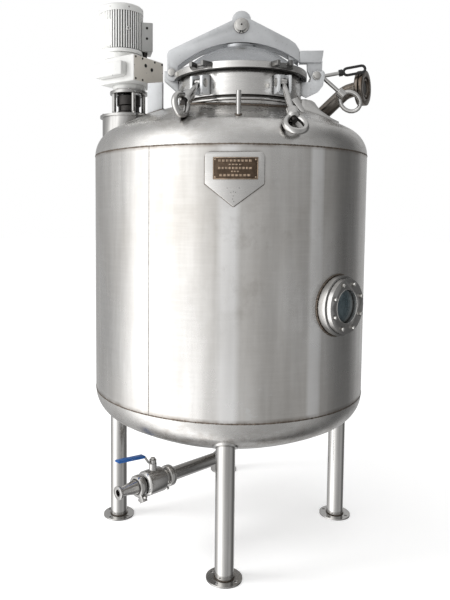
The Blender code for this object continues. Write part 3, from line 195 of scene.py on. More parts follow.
class Shade:
    """One procedural material on the piece's own coordinates."""

    def __init__(self, name, colour=(0.6, 0.6, 0.6), rough=0.3, metal=1.0):
        self.material = bpy.data.materials.new(name)
        self.material.use_nodes = True
        self.tree = self.material.node_tree
        self.shader = self.tree.nodes["Principled BSDF"]
        self.coords = self.node("TexCoord").outputs["Object"]
        self.shader.inputs["Base Color"].default_value = (*colour, 1.0)
        self.shader.inputs["Roughness"].default_value = rough
        self.shader.inputs["Metallic"].default_value = metal
        MATERIALS[name] = self.material

    def node(self, kind):
        return self.tree.nodes.new("ShaderNode" + kind)

    def join(self, source, target):
        self.tree.links.new(source, target)

    def noise(self, scale, stretch=(1.0, 1.0, 1.0), detail=4.0, rough=0.55):
        mapping = self.node("Mapping")
        mapping.inputs["Scale"].default_value = stretch
        self.join(self.coords, mapping.inputs["Vector"])
        noise = self.node("TexNoise")
        noise.inputs["Scale"].default_value = scale
        noise.inputs["Detail"].default_value = detail
        noise.inputs["Roughness"].default_value = rough
        self.join(mapping.outputs["Vector"], noise.inputs["Vector"])
        return noise.outputs["Fac"]

    def spread(self, value, low, high, to_low=0.0, to_high=1.0):
        node = self.node("MapRange")
        node.inputs["From Min"].default_value = low
        node.inputs["From Max"].default_value = high
        node.inputs["To Min"].default_value = to_low
        node.inputs["To Max"].default_value = to_high
        self.join(value, node.inputs["Value"])
        return node.outputs["Result"]

    def times(self, a, b):
        node = self.node("Math")
        node.operation = "MULTIPLY"
        self.join(a, node.inputs[0])
        if isinstance(b, float):
            node.inputs[1].default_value = b
        else:
            self.join(b, node.inputs[1])
        return node.outputs["Value"]

    def mix(self, factor, first, second):
        node = self.node("Mix")
        node.data_type = "RGBA"
        for value, socket in ((first, node.inputs[6]), (second, node.inputs[7])):
            if isinstance(value, tuple):
                socket.default_value = (*value, 1.0)
            else:
                self.join(value, socket)
        self.join(factor, node.inputs[0])
        return node.outputs[2]

    def near(self, centre, radius, core=0.0):
        """1 at a point, falling to 0 at the radius."""
        node = self.node("VectorMath")
        node.operation = "DISTANCE"
        self.join(self.coords, node.inputs[0])
        node.inputs[1].default_value = centre
        return self.spread(node.outputs["Value"], radius, core)

    def highlight_band(self, degrees, half_width):
        """Mask of a painted highlight: 1 along an upright line on the shell, at an angle from the camera's side,
        fading to 0.
        """
        away = math.radians(degrees) + math.atan2(-CAMERA_AT.x, -CAMERA_AT.y)
        node = self.node("VectorMath")
        node.operation = "DOT_PRODUCT"
        self.join(self.coords, node.inputs[0])
        node.inputs[1].default_value = (math.sin(away), -math.cos(away), 0.0)
        edge = SHELL_RADIUS * math.cos(math.radians(half_width))
        wobble = self.spread(self.noise(5.0, (1.0, 1.0, 0.25), 3.0), 0.35, 0.65, 0.25, 0.75)
        return self.times(self.spread(node.outputs["Value"], edge, SHELL_RADIUS - 0.0004), wobble)

    def height(self):
        node = self.node("SeparateXYZ")
        self.join(self.coords, node.inputs["Vector"])
        return node.outputs["Z"]

    def colour(self, socket, corner_shade=(0.05, 0.045, 0.04)):
        """The piece's colour, with painted shade where faces meet."""
        # painted shade: ambient occlusion darkens the colour in corners, creases and gaps
        open_faces = self.node("AmbientOcclusion")
        open_faces.samples = 8
        open_faces.inputs["Distance"].default_value = 0.016
        shown = self.mix(self.spread(open_faces.outputs["AO"], 0.22, 0.80), corner_shade, socket)
        self.join(shown, self.shader.inputs["Base Color"])

    def roughness(self, socket):
        self.join(socket, self.shader.inputs["Roughness"])

    def bump(self, value, strength, distance=0.001):
        node = self.node("Bump")
        node.inputs["Strength"].default_value = strength
        node.inputs["Distance"].default_value = distance
        self.join(value, node.inputs["Height"])
        self.join(node.outputs["Normal"], self.shader.inputs["Normal"])


def tone(colour, factor):
    return tuple(min(1.0, channel * factor) for channel in colour)


def warm(colour, factor):
    """A darker tone of a colour, turned towards brown."""
    return (colour[0] * factor, colour[1] * factor * 0.94, colour[2] * factor * 0.86)


def brushed(name, colour, rough, stretch, contrast=0.16, marks=0.10, metal=1.0):
    """Steel with a grain that runs along the short stretch, and soft patches of wear."""
    shade = Shade(name, colour, rough, metal)
    grain = shade.noise(38.0, stretch, 6.0, 0.65)
    patches = shade.noise(3.4, (1.0, 1.0, 0.45), 5.0, 0.6)
    base = shade.mix(shade.spread(patches, 0.30, 0.70), tone(colour, 1.0 - contrast), tone(colour, 1.12))
    streaked = shade.mix(shade.spread(grain, 0.42, 0.60, 0.0, 0.35), base, tone(colour, 0.80))
    shade.colour(streaked)
    shade.roughness(shade.spread(grain, 0.3, 0.7, rough - marks * 0.5, rough + marks))
    shade.bump(grain, 0.10, 0.0006)
    return shade, streaked


def lid_steel(dome, rim):
    """The lid: a dome darkened by painted shade from the yoke over a bright turned rim, and painted shade along the
    rim's underside.
    """
    shade, grain = brushed("lid_steel", dome, 0.27, (1.0, 1.0, 2.0), 0.20)
    turned = shade.noise(40.0, (0.2, 0.2, 3.0), 4.0, 0.6)
    bright = shade.mix(shade.spread(turned, 0.35, 0.65), tone(rim, 0.88), rim)
    shown = shade.mix(shade.spread(shade.height(), RIM_TOP - 0.004, RIM_TOP - 0.001), bright, grain)
    # painted shade: near-black along the lid's lowest edge, where the rim overhangs the ring
    shade_below = shade.spread(shade.height(), LID_LOW.z + 0.0030, LID_LOW.z + 0.0010)
    shade.colour(shade.mix(shade_below, shown, (0.020, 0.018, 0.016)))


def neck_steel(colour):
    """The manway's turned ring, with painted shade along its lower edge where it overhangs."""
    shade, grain = brushed("neck_steel", colour, 0.24, (0.25, 0.25, 3.0), 0.14)
    # painted shade: a near-black band along the ring's lower edge, under its overhang
    overhang_shade = [shade.spread(shade.height(), RING_LOW + far, RING_LOW + near) for far, near in
             ((0.0035, 0.0012), (-0.0055, -0.0020))]
    shade.colour(shade.mix(shade.times(*overhang_shade), grain, (0.020, 0.018, 0.016)))


def shell_steel(settings):
    """Brushed plate with long worn streaks, fine scratches, scuffs near the bottom seam and two painted highlight
    bands.
    """
    steel, tint = tuple(settings.steel), tuple(settings.tint)
    shade = Shade("shell_steel", steel, 0.33, 1.0)
    long_streaks = shade.noise(7.0, (1.0, 1.0, 0.10), 5.0, 0.6)
    patches = shade.noise(2.6, (1.0, 1.0, 0.6), 6.0, 0.62)
    grain = shade.noise(60.0, (0.12, 0.12, 1.6), 4.0, 0.6)
    scratches = shade.noise(34.0, (1.0, 0.2, 0.5), 8.0, 0.8)
    base = shade.mix(shade.spread(long_streaks, 0.36, 0.66), tone(steel, 0.86), tone(steel, 1.30))
    worn = shade.mix(shade.spread(patches, 0.40, 0.72, 0.0, 0.55), base, warm(steel, 0.74))
    fine = shade.mix(shade.spread(grain, 0.45, 0.62, 0.0, 0.10), worn, tone(steel, 1.35))
    lines = shade.mix(shade.spread(scratches, 0.66, 0.72, 0.0, 0.30), fine, tone(steel, 0.60))
    # painted highlights: two bright upright bands where the shell would mirror the bright studio walls
    lines = shade.mix(shade.highlight_band(0.0, 4.5), lines, tone(steel, 1.75))
    lines = shade.mix(shade.highlight_band(33.0, 3.6), lines, tone(steel, 2.2))
    scuff_noise = shade.spread(shade.noise(16.0, (1.0, 1.0, 1.4), 8.0, 0.75), 0.55, 0.60)
    scuff = shade.times(scuff_noise, shade.near((0.09, -0.54, 0.655), 0.085))
    scuff_left = shade.times(scuff_noise, shade.near((-0.50, -0.22, 0.70), 0.10))
    pale = shade.mix(scuff, lines, (0.78, 0.78, 0.77))
    pale = shade.mix(scuff_left, pale, (0.74, 0.74, 0.73))
    dark_noise = shade.spread(shade.noise(9.0, (1.0, 1.0, 1.0), 6.0, 0.7), 0.52, 0.70, 0.0, 0.5)
    rubbed = shade.times(dark_noise, shade.near((0.14, -0.53, 1.15), 0.40))
    dusky = shade.mix(rubbed, pale, warm(steel, 0.58))
    brown_noise = shade.spread(shade.noise(11.0, (1.0, 1.0, 0.5), 6.0, 0.7), 0.40, 0.62, 0.35, 1.0)
    high = shade.spread(shade.height(), SEAM_TOP - 0.013, SEAM_TOP - 0.003, 0.0, 0.75)
    low = shade.spread(shade.height(), SEAM_BOTTOM + 0.016, SEAM_BOTTOM + 0.003, 0.0, 0.80)
    dusky = shade.mix(shade.times(brown_noise, high), dusky, tint)
    shade.colour(shade.mix(shade.times(brown_noise, low), dusky, tone(tint, 0.8)))
    shade.roughness(shade.spread(patches, 0.3, 0.7, 0.22, 0.36))
    shade.bump(grain, 0.05, 0.0005)


def head_steel(settings):
    """The dished heads, smoother than the shell, with brown stains where they were welded, and brown below the
    bottom seam that is part stain and part painted shade.
    """
    steel = tuple(settings.steel)
    tint = tuple(settings.tint)
    shade = Shade("head_steel", steel, 0.28, 1.0)
    patches = shade.noise(4.2, (1.0, 1.0, 1.0), 6.0, 0.62)
    swirl = shade.noise(26.0, (1.0, 1.0, 3.5), 5.0, 0.6)
    base = shade.mix(shade.spread(patches, 0.32, 0.68), tone(steel, 0.84), tone(steel, 1.18))
    fine = shade.mix(shade.spread(swirl, 0.45, 0.65, 0.0, 0.20), base, warm(steel, 0.66))
    blots = shade.spread(shade.noise(13.0, (1.0, 1.0, 1.0), 6.0, 0.7), 0.46, 0.66)
    # darker towards the bottom: brown stain and painted shade on the bottom head
    shade_below = shade.spread(shade.height(), SEAM_BOTTOM - 0.005, SEAM_BOTTOM - 0.10, 0.0, 0.75)
    low = shade.mix(shade.times(blots, shade_below), fine, tint)
    left_stain = shade.times(blots, shade.near((-0.13, -0.44, 1.66), 0.15))
    right_stain = shade.times(blots, shade.near((0.36, -0.05, 1.68), 0.16))
    shade.colour(shade.mix(right_stain, shade.mix(left_stain, low, tone(tint, 0.9)), tint))
    shade.roughness(shade.spread(swirl, 0.3, 0.7, 0.22, 0.36))
    shade.bump(swirl, 0.03, 0.0006)


def tinted_steel(settings):
    """Pipe with a brown heat tint over bright steel."""
    tint = tuple(settings.tint)
    shade = Shade("tinted_steel", tint, 0.30, 1.0)
    clouds = shade.noise(14.0, (1.0, 1.0, 1.0), 6.0, 0.65)
    brown = shade.mix(shade.spread(clouds, 0.38, 0.62), tone(tint, 0.55), (0.22, 0.20, 0.18))
    shade.colour(brown)
    shade.roughness(shade.spread(clouds, 0.3, 0.7, 0.24, 0.40))
    shade.bump(shade.noise(120.0), 0.06, 0.0005)


def plate_steel(name, colour):
    """Matt blasted plate with handling marks and near-black painted shade in its corners."""
    shade = Shade(name, colour, 0.45, 0.45)
    cloud = shade.noise(7.0, (1.0, 1.0, 1.0), 6.0, 0.6)
    specks = shade.noise(90.0, (1.0, 1.0, 1.0), 3.0, 0.7)
    base = shade.mix(shade.spread(cloud, 0.35, 0.65), tone(colour, 0.86), tone(colour, 1.05))
    speckled = shade.mix(shade.spread(specks, 0.62, 0.74, 0.0, 0.55), base, tone(colour, 0.45))
    # painted shade: near-black where the plate meets other faces
    shade.colour(speckled, (0.025, 0.022, 0.020))
    shade.roughness(shade.spread(cloud, 0.3, 0.7, 0.42, 0.55))
    shade.bump(specks, 0.10, 0.0004)


def drive_paint(name, colour, shade_right_face=False):
    """White enamel with patches of dust, painted shade in its corners and small chips, and painted shade greying the
    face to the right if asked.
    """
    shade = Shade(name, colour, 0.38, 0.0)
    dust = shade.noise(9.0, (1.0, 1.0, 0.6), 6.0, 0.62)
    chips = shade.noise(55.0, (1.0, 1.0, 1.0), 2.0, 0.5)
    base = shade.mix(shade.spread(dust, 0.45, 0.75, 0.0, 0.45), colour, tone(colour, 0.72))
    if shade_right_face:
        # painted shade: the face turned to the right is tinted slightly greyer
        face = shade.node("VectorMath")
        face.operation = "DOT_PRODUCT"
        shade.join(shade.coords, face.inputs[0])
        out = (math.cos(GEAR_TURN), math.sin(GEAR_TURN), 0.0)
        face.inputs[1].default_value = out
        edge = GEAR_AT.dot(Vector(out)) + GEAR_HALF
        base = shade.mix(shade.spread(face.outputs["Value"], edge - 0.0016, edge - 0.0006), base, warm(colour, 0.98))
    shade.colour(shade.mix(shade.spread(chips, 0.73, 0.75, 0.0, 0.8), base, (0.10, 0.10, 0.10)))
    shade.roughness(shade.spread(dust, 0.3, 0.7, 0.30, 0.48))
    shade.bump(shade.noise(160.0), 0.05, 0.0004)


def motor_paint(colour):
    """The finned motor's enamel, with painted shade between the fins on its right."""
    shade = Shade("motor_enamel", colour, 0.38, 0.0)
    dust = shade.noise(9.0, (1.0, 1.0, 0.6), 6.0, 0.62)
    base = shade.mix(shade.spread(dust, 0.45, 0.75, 0.0, 0.15), tone(colour, 1.15), tone(colour, 0.85))
    parts = shade.node("SeparateXYZ")
    shade.join(shade.coords, parts.inputs["Vector"])
    # painted shade: near-black in the grooves between the fins, strongest on the motor's right side
    far = shade.spread(parts.outputs["X"], MOTOR.x - 0.040, MOTOR.x + 0.01, 0.03, 1.0)
    grooves = shade.node("AmbientOcclusion")
    grooves.samples = 8
    grooves.inputs["Distance"].default_value = 0.010
    closed = shade.spread(grooves.outputs["AO"], 0.72, 0.48)
    shade.join(shade.mix(shade.times(closed, far), base, (0.015, 0.015, 0.015)), shade.shader.inputs["Base Color"])
    shade.roughness(shade.spread(dust, 0.3, 0.7, 0.30, 0.48))


def plain_grained(name, colour, rough, metal, scale=60.0, contrast=0.25):
    """A small part's finish: one colour broken up by a fine noise."""
    shade = Shade(name, colour, rough, metal)
    grain = shade.noise(scale, (1.0, 1.0, 1.0), 4.0, 0.6)
    shade.colour(shade.mix(shade.spread(grain, 0.35, 0.65), tone(colour, 1.0 - contrast), tone(colour, 1.1)))
    shade.roughness(shade.spread(grain, 0.3, 0.7, rough * 0.85, rough * 1.15))
    shade.bump(grain, 0.06, 0.0004)


def make_materials(scene):
    """Every finish that the pieces use."""
    vessel, fittings, drive = scene.vessel_body, scene.vessel_fittings, scene.vessel_drive
    steel = tuple(vessel.steel)
    shell_steel(vessel)
    head_steel(vessel)
    tinted_steel(vessel)
    plate_steel("plate_steel", tuple(fittings.plate))
    # painted light: a lighter copy of the plate steel for the clevises and brackets
    plate_steel("clevis_steel", tone(tuple(fittings.plate), 1.38))
    drive_paint("drive_enamel", tuple(drive.paint))
    # the gearbox's enamel carries painted shade on its right face
    drive_paint("gear_enamel", tuple(drive.paint), True)
    # painted shade: a darker copy of the drive enamel for the terminal box
    drive_paint("box_enamel", tone(tuple(drive.paint), 0.62))
    motor_paint(tuple(drive.paint))
    brushed("ring_steel", tone(steel, 1.08), 0.26, (0.25, 0.25, 3.0), 0.14)
    # painted shade: the dome's dark bluish tone stands for the yoke's shade on it
    lid_steel((0.43, 0.44, 0.455), tone(steel, 1.30))
    neck_steel(tone(steel, 1.18))
    brushed("leg_steel", tone(steel, 0.95), 0.14, (2.0, 2.0, 0.10), 0.10, 0.06)
    brushed("nozzle_steel", tone(steel, 0.70), 0.09, (2.0, 2.0, 0.10), 0.10, 0.04)
    brushed("turned_steel", tone(steel, 0.92), 0.15, (1.0, 1.0, 1.0), 0.12, 0.08)
    brushed("forged_steel", tone(steel, 0.92), 0.13, (1.0, 1.0, 1.0), 0.10, 0.04)
    brushed("fork_steel", tone(steel, 0.34), 0.22, (1.0, 1.0, 1.0), 0.20, 0.08)
    plain_grained("weld_steel", (0.20, 0.165, 0.135), 0.42, 1.0, 150.0, 0.50)
    plain_grained("dark_gap", (0.020, 0.020, 0.021), 0.6, 0.2)
    plain_grained("rubber", (0.025, 0.025, 0.025), 0.6, 0.0)
    plain_grained("dipped_black", (0.016, 0.016, 0.017), 0.33, 0.0, 40.0)
    plain_grained("bolt_steel", (0.55, 0.54, 0.52), 0.20, 1.0, 60.0, 0.12)
    plain_grained("black_steel", (0.045, 0.042, 0.040), 0.35, 0.9, 60.0, 0.3)
    plain_grained("white_seat", (0.82, 0.82, 0.80), 0.5, 0.0)
    plain_grained("plate_bronze", (0.115, 0.080, 0.055), 0.42, 0.85, 45.0, 0.4)
    plain_grained("raised_bronze", (0.45, 0.34, 0.25), 0.38, 0.9, 60.0, 0.3)
    sleeve = tuple(fittings.sleeve)
    shade = Shade("blue_vinyl", sleeve, 0.30, 0.0)
    wear = shade.noise(26.0, (1.0, 1.0, 1.0), 6.0, 0.7)
    shade.colour(shade.mix(shade.spread(wear, 0.62, 0.68, 0.0, 0.8), sleeve, (0.45, 0.55, 0.66)))
    glass = Shade("thick_glass", (0.035, 0.055, 0.062), 0.06, 0.0)
    haze = glass.noise(18.0, (1.0, 1.0, 1.0), 4.0, 0.6)
    glass.colour(glass.mix(glass.spread(haze, 0.35, 0.70), (0.022, 0.038, 0.045), (0.075, 0.100, 0.110)))
    glass.shader.inputs["Coat Weight"].default_value = 0.6


def new_object(name, mesh):
    obj = bpy.data.objects.new(name, mesh)
    bpy.context.scene.collection.objects.link(obj)
    return obj


def settle(obj, material, body, nodes=()):
    """Give a finished piece its material, its body and the nodes that it stands for."""
    if len(obj.data.materials) == 0:
        obj.data.materials.append(MATERIALS[material])
    else:
        obj.data.materials[0] = MATERIALS[material]
    if nodes:
        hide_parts(*nodes)
    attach(obj, body)
    return obj


def baked(obj, name=None):
    """A plain mesh object at the origin with the modifiers and the place applied."""
    bpy.context.view_layer.update()
    evaluated = obj.evaluated_get(bpy.context.evaluated_depsgraph_get())
    mesh = bpy.data.meshes.new_from_object(evaluated)
    mesh.transform(obj.matrix_world)
    label = name or obj.name
    obj.modifiers.clear()
    bpy.data.objects.remove(obj, do_unlink=True)
    done = new_object(label, mesh)
    done.data.name = label
    return done


def smooth(mesh, degrees=35.0):
    mesh.shade_smooth()
    mesh.set_sharp_from_angle(angle=math.radians(degrees))


def spun(name, profile, segments, matrix=Matrix.Identity(4), closed=False):
    """A profile of radius and height turned round Z, with its faces pointing outwards."""
    bm = bmesh.new()
    verts = [bm.verts.new((radius, 0.0, height)) for radius, height in profile]
    edges = [bm.edges.new(pair) for pair in zip(verts, verts[1:])]
    if closed:
        edges.append(bm.edges.new((verts[-1], verts[0])))
    bmesh.ops.spin(
        bm, geom=verts + edges, cent=(0, 0, 0), axis=(0, 0, 1), angle=math.tau, steps=segments,
        use_duplicate=False,
    )
    bmesh.ops.remove_doubles(bm, verts=bm.verts, dist=0.00002)
    bmesh.ops.recalc_face_normals(bm, faces=bm.faces)
    mesh = bpy.data.meshes.new(name)
    bm.to_mesh(mesh)
    bm.free()
    mesh.transform(matrix)
    smooth(mesh)
    return new_object(name, mesh)


def merged_copy(node):
    """A welded copy of a CAD node, with flat faces made whole again."""
    mesh = NODES[node].data.copy()
    bm = bmesh.new()
    bm.from_mesh(mesh)
    bmesh.ops.remove_doubles(bm, verts=bm.verts, dist=0.00002)
    bmesh.ops.dissolve_limit(
        bm, angle_limit=math.radians(0.5), verts=bm.verts, edges=bm.edges, use_dissolve_boundaries=False
    )
    bm.to_mesh(mesh)
    bm.free()
    return mesh


def dressed(node, material, edge=0.0, name=None):
    """The CAD node's own shape with rounded edges and a better finish, standing for the node."""
    mesh = merged_copy(node)
    obj = new_object(name or node + "_dressed", mesh)
    if edge:
        mod = obj.modifiers.new("rounded", "BEVEL")
        mod.width = edge
        mod.segments = 2
        mod.limit_method = "ANGLE"
        mod.angle_limit = math.radians(38)
        mod.use_clamp_overlap = True
        mod.harden_normals = False
        obj = baked(obj)
    smooth(obj.data, 40.0)
    return settle(obj, material, BODY_OF[node], (node,))


def around_tree():
    """Geometry Nodes: copies of one piece round a circle, each turned outwards."""
    tree = bpy.data.node_groups.new("around_circle", "GeometryNodeTree")
    face = tree.interface
    face.new_socket("Geometry", in_out="INPUT", socket_type="NodeSocketGeometry")
    for label, kind in (
        ("Piece", "NodeSocketObject"), ("Count", "NodeSocketInt"), ("Radius", "NodeSocketFloat"),
        ("First Angle", "NodeSocketFloat"), ("Material", "NodeSocketMaterial"),
    ):
        face.new_socket(label, in_out="INPUT", socket_type=kind)
    face.new_socket("Geometry", in_out="OUTPUT", socket_type="NodeSocketGeometry")
    made = tree.nodes.new
    enter, leave = made("NodeGroupInput"), made("NodeGroupOutput")
    points, index = made("GeometryNodePoints"), made("GeometryNodeInputIndex")
    share, angle = made("ShaderNodeMath"), made("ShaderNodeMath")
    share.operation = "DIVIDE"
    angle.operation = "MULTIPLY_ADD"
    cosine, sine = made("ShaderNodeMath"), made("ShaderNodeMath")
    cosine.operation, sine.operation = "COSINE", "SINE"
    at, out = made("ShaderNodeCombineXYZ"), made("ShaderNodeVectorMath")
    out.operation = "SCALE"
    place, turn = made("GeometryNodeSetPosition"), made("ShaderNodeCombineXYZ")
    source, copies = made("GeometryNodeObjectInfo"), made("GeometryNodeInstanceOnPoints")
    euler, real, paint = made("FunctionNodeEulerToRotation"), made("GeometryNodeRealizeInstances"), None
    paint = made("GeometryNodeSetMaterial")
    link = tree.links.new
    link(enter.outputs["Count"], points.inputs["Count"])
    link(index.outputs["Index"], share.inputs[0])
    link(enter.outputs["Count"], share.inputs[1])
    link(share.outputs[0], angle.inputs[0])
    angle.inputs[1].default_value = math.tau
    link(enter.outputs["First Angle"], angle.inputs[2])
    link(angle.outputs[0], cosine.inputs[0])
    link(angle.outputs[0], sine.inputs[0])
    link(cosine.outputs[0], at.inputs["X"])
    link(sine.outputs[0], at.inputs["Y"])
    link(at.outputs["Vector"], out.inputs[0])
    link(enter.outputs["Radius"], out.inputs["Scale"])
    link(points.outputs[0], place.inputs["Geometry"])
    link(out.outputs[0], place.inputs["Position"])
    link(angle.outputs[0], turn.inputs["Z"])
    link(turn.outputs["Vector"], euler.inputs[0])
    link(enter.outputs["Piece"], source.inputs["Object"])
    link(place.outputs["Geometry"], copies.inputs["Points"])
    link(source.outputs["Geometry"], copies.inputs["Instance"])
    link(euler.outputs[0], copies.inputs["Rotation"])
    link(copies.outputs["Instances"], real.inputs["Geometry"])
    link(real.outputs["Geometry"], paint.inputs["Geometry"])
    link(enter.outputs["Material"], paint.inputs["Material"])
    link(paint.outputs["Geometry"], leave.inputs["Geometry"])
    return tree


def bead_tree():
    """Geometry Nodes: ripples of weld metal along a curve."""
    tree = bpy.data.node_groups.new("weld_bead", "GeometryNodeTree")
    face = tree.interface
    face.new_socket("Geometry", in_out="INPUT", socket_type="NodeSocketGeometry")
    for label, kind in (
        ("Spacing", "NodeSocketFloat"), ("Width", "NodeSocketFloat"), ("Height", "NodeSocketFloat"),
        ("Material", "NodeSocketMaterial"),
    ):
        face.new_socket(label, in_out="INPUT", socket_type=kind)
    face.new_socket("Geometry", in_out="OUTPUT", socket_type="NodeSocketGeometry")
    made = tree.nodes.new
    enter, leave = made("NodeGroupInput"), made("NodeGroupOutput")
    even = made("GeometryNodeResampleCurve")
    even.mode = "LENGTH"
    to_points = made("GeometryNodeCurveToPoints")
    to_points.mode = "EVALUATED"
    ball = made("GeometryNodeMeshUVSphere")
    ball.inputs["Segments"].default_value = 8
    ball.inputs["Rings"].default_value = 5
    ball.inputs["Radius"].default_value = 0.5
    size, vary = made("ShaderNodeCombineXYZ"), made("FunctionNodeRandomValue")
    vary.data_type = "FLOAT"
    vary.inputs[2].default_value = 0.8
    vary.inputs[3].default_value = 1.15
    vary.inputs["Seed"].default_value = 7
    scaled = made("ShaderNodeVectorMath")
    scaled.operation = "SCALE"
    longer = made("ShaderNodeMath")
    longer.operation = "MULTIPLY"
    longer.inputs[1].default_value = 2.0
    copies, real = made("GeometryNodeInstanceOnPoints"), made("GeometryNodeRealizeInstances")
    paint, round_off = made("GeometryNodeSetMaterial"), made("GeometryNodeSetShadeSmooth")
    link = tree.links.new
    link(enter.outputs["Geometry"], even.inputs["Curve"])
    link(enter.outputs["Spacing"], even.inputs["Length"])
    link(even.outputs["Curve"], to_points.inputs["Curve"])
    link(to_points.outputs["Points"], copies.inputs["Points"])
    link(to_points.outputs["Rotation"], copies.inputs["Rotation"])
    link(enter.outputs["Height"], size.inputs["X"])
    link(enter.outputs["Width"], size.inputs["Y"])
    link(enter.outputs["Spacing"], longer.inputs[0])
    link(longer.outputs[0], size.inputs["Z"])
    link(size.outputs["Vector"], scaled.inputs[0])
    link(vary.outputs[1], scaled.inputs["Scale"])
    link(scaled.outputs[0], copies.inputs["Scale"])
    link(ball.outputs["Mesh"], copies.inputs["Instance"])
    link(copies.outputs["Instances"], real.inputs["Geometry"])
    link(real.outputs["Geometry"], round_off.inputs["Geometry"])
    link(round_off.outputs["Geometry"], paint.inputs["Geometry"])
    link(enter.outputs["Material"], paint.inputs["Material"])
    link(paint.outputs["Geometry"], leave.inputs["Geometry"])
    return tree


def run_tree(obj, tree, values, name):
    """Run a tree on an object with its inputs set by their identifiers, and keep a plain mesh."""
    mod = obj.modifiers.new(tree.name, "NODES")
    mod.node_group = tree
    for item in tree.interface.items_tree:
        if item.in_out == "INPUT" and item.name in values:
            mod[item.identifier] = values[item.name]
    return baked(obj, name)


TREES = {}


def circle_of(name, piece, count, radius, matrix, material, first=0.0):
    """Copies of a small piece round a circle in a frame, as one plain mesh."""
    if "around" not in TREES:
        TREES["around"] = around_tree()
    carrier = new_object(name + "_carrier", bpy.data.meshes.new(name + "_carrier"))
    carrier.matrix_world = matrix
    values = {
        "Piece": piece, "Count": count, "Radius": radius, "First Angle": math.radians(first),
        "Material": MATERIALS[material],
    }
    done = run_tree(carrier, TREES["around"], values, name)
    bpy.data.objects.remove(piece, do_unlink=True)
    smooth(done.data, 40.0)
    return done


def weld(name, points, width, height, body, closed=True, spacing=0.0035):
    """A rippled bead of weld along points."""
    if "bead" not in TREES:
        TREES["bead"] = bead_tree()
    curve = bpy.data.curves.new(name, "CURVE")
    curve.dimensions = "3D"
    spline = curve.splines.new("POLY")
    spline.points.add(len(points) - 1)
    for point, at in zip(spline.points, points):
        point.co = (*at, 1.0)
    spline.use_cyclic_u = closed
    values = {"Spacing": spacing, "Width": width, "Height": height, "Material": MATERIALS["weld_steel"]}
    done = run_tree(new_object(name + "_path", curve), TREES["bead"], values, name)
    return settle(done, "weld_steel", body)


def bolt_head(name, radius, height, sides=6, washer=0.0, dome=0.0):
    """A bolt's head standing on its washer along Z, with a rounded crown."""
    profile = [(0.0, 0.0)]
    base = 0.0
    if washer:
        base = washer
        profile += [(radius * 1.45, 0.0), (radius * 1.45, washer)]
    profile += [(radius, base), (radius, base + height * 0.85), (radius * 0.82, base + height)]
    profile += [(0.0, base + height + dome)]
    return spun(name, list(reversed(profile)), sides)


def tube(name, points, radius, closed=False, sides=8):
    """A round bar along points as a mesh."""
    curve = bpy.data.curves.new(name, "CURVE")
    curve.dimensions = "3D"
    curve.bevel_depth = radius
    curve.bevel_resolution = sides // 2
    curve.use_fill_caps = not closed
    spline = curve.splines.new("POLY")
    spline.points.add(len(points) - 1)
    for point, at in zip(spline.points, points):
        point.co = (*at, 1.0)
    spline.use_cyclic_u = closed
    done = baked(new_object(name + "_path", curve), name)
    bm = bmesh.new()
    bm.from_mesh(done.data)
    bmesh.ops.remove_doubles(bm, verts=bm.verts, dist=0.00001)
    bm.to_mesh(done.data)
    bm.free()
    smooth(done.data, 60.0)
    return done


def block(name, low, high, matrix=Matrix.Identity(4), edge=0.0006):
    """A small block between two corners with rounded edges."""
    bm = bmesh.new()
    bmesh.ops.create_cube(bm, size=1.0)
    low, high = Vector(low), Vector(high)
    bmesh.ops.scale(bm, vec=high - low, verts=bm.verts)
    bmesh.ops.translate(bm, vec=(low + high) / 2, verts=bm.verts)
    if edge:
        bmesh.ops.bevel(bm, geom=bm.edges, offset=edge, segments=2, affect="EDGES", profile=0.5)
    mesh = bpy.data.meshes.new(name)
    bm.to_mesh(mesh)
    bm.free()
    mesh.transform(matrix)
    smooth(mesh)
    return new_object(name, mesh)


def joined(name, parts):
    """Several small pieces of one body as one mesh."""
    bm = bmesh.new()
    for part in parts:
        bm.from_mesh(part.data)
    mesh = bpy.data.meshes.new(name)
    bm.to_mesh(mesh)
    bm.free()
    for part in parts:
        bpy.data.objects.remove(part, do_unlink=True)
    smooth(mesh, 40.0)
    return new_object(name, mesh)


def circle(centre, radius, count, z=0.0):
    points = []
    for i in range(count):
        angle = math.tau * i / count
        points.append(Vector((centre[0] + radius * math.cos(angle), centre[1] + radius * math.sin(angle), z)))
    return points


def facing(at, direction):
    """A frame at a point with Z along a direction."""
    return Matrix.Translation(at) @ Vector(direction).to_track_quat("Z", "Y").to_matrix().to_4x4()


def head_curve():
    flat = SHELL_RADIUS - KNUCKLE
    crown = (HEAD_DEPTH**2 - KNUCKLE**2 + flat**2) / (2 * (HEAD_DEPTH - KNUCKLE))
    return crown, crown * flat / (crown - KNUCKLE)


def head_profile(offset, crown_steps=22, knuckle_steps=18):
    """Radius and height above the seam, from the pole out to the seam."""
    crown, meet = head_curve()
    limit = math.asin(meet / crown)
    points = []
    for i in range(crown_steps + 1):
        angle = limit * i / crown_steps
        height = HEAD_DEPTH - crown + (crown + offset) * math.cos(angle)
        points.append(((crown + offset) * math.sin(angle), height))
    for i in range(1, knuckle_steps + 1):
        angle = limit + (math.pi / 2 - limit) * i / knuckle_steps
        radius = KNUCKLE + offset
        points.append((SHELL_RADIUS - KNUCKLE + radius * math.sin(angle), radius * math.cos(angle)))
    return points


def head_height(x, y):
    """Height of the top head's outside over a point."""
    crown, meet = head_curve()
    radius = math.hypot(x, y)
    if radius < meet:
        return SEAM_TOP + HEAD_DEPTH - crown + math.sqrt(crown**2 - radius**2)
    past = radius - (SHELL_RADIUS - KNUCKLE)
    return SEAM_TOP + math.sqrt(max(KNUCKLE**2 - past**2, 0.0))


def cutter(name, radius, low, high, matrix=Matrix.Identity(4), sides=96):
    profile = [(0.0, high), (radius, high), (radius, low), (0.0, low)]
    return spun(name, profile, sides, matrix)


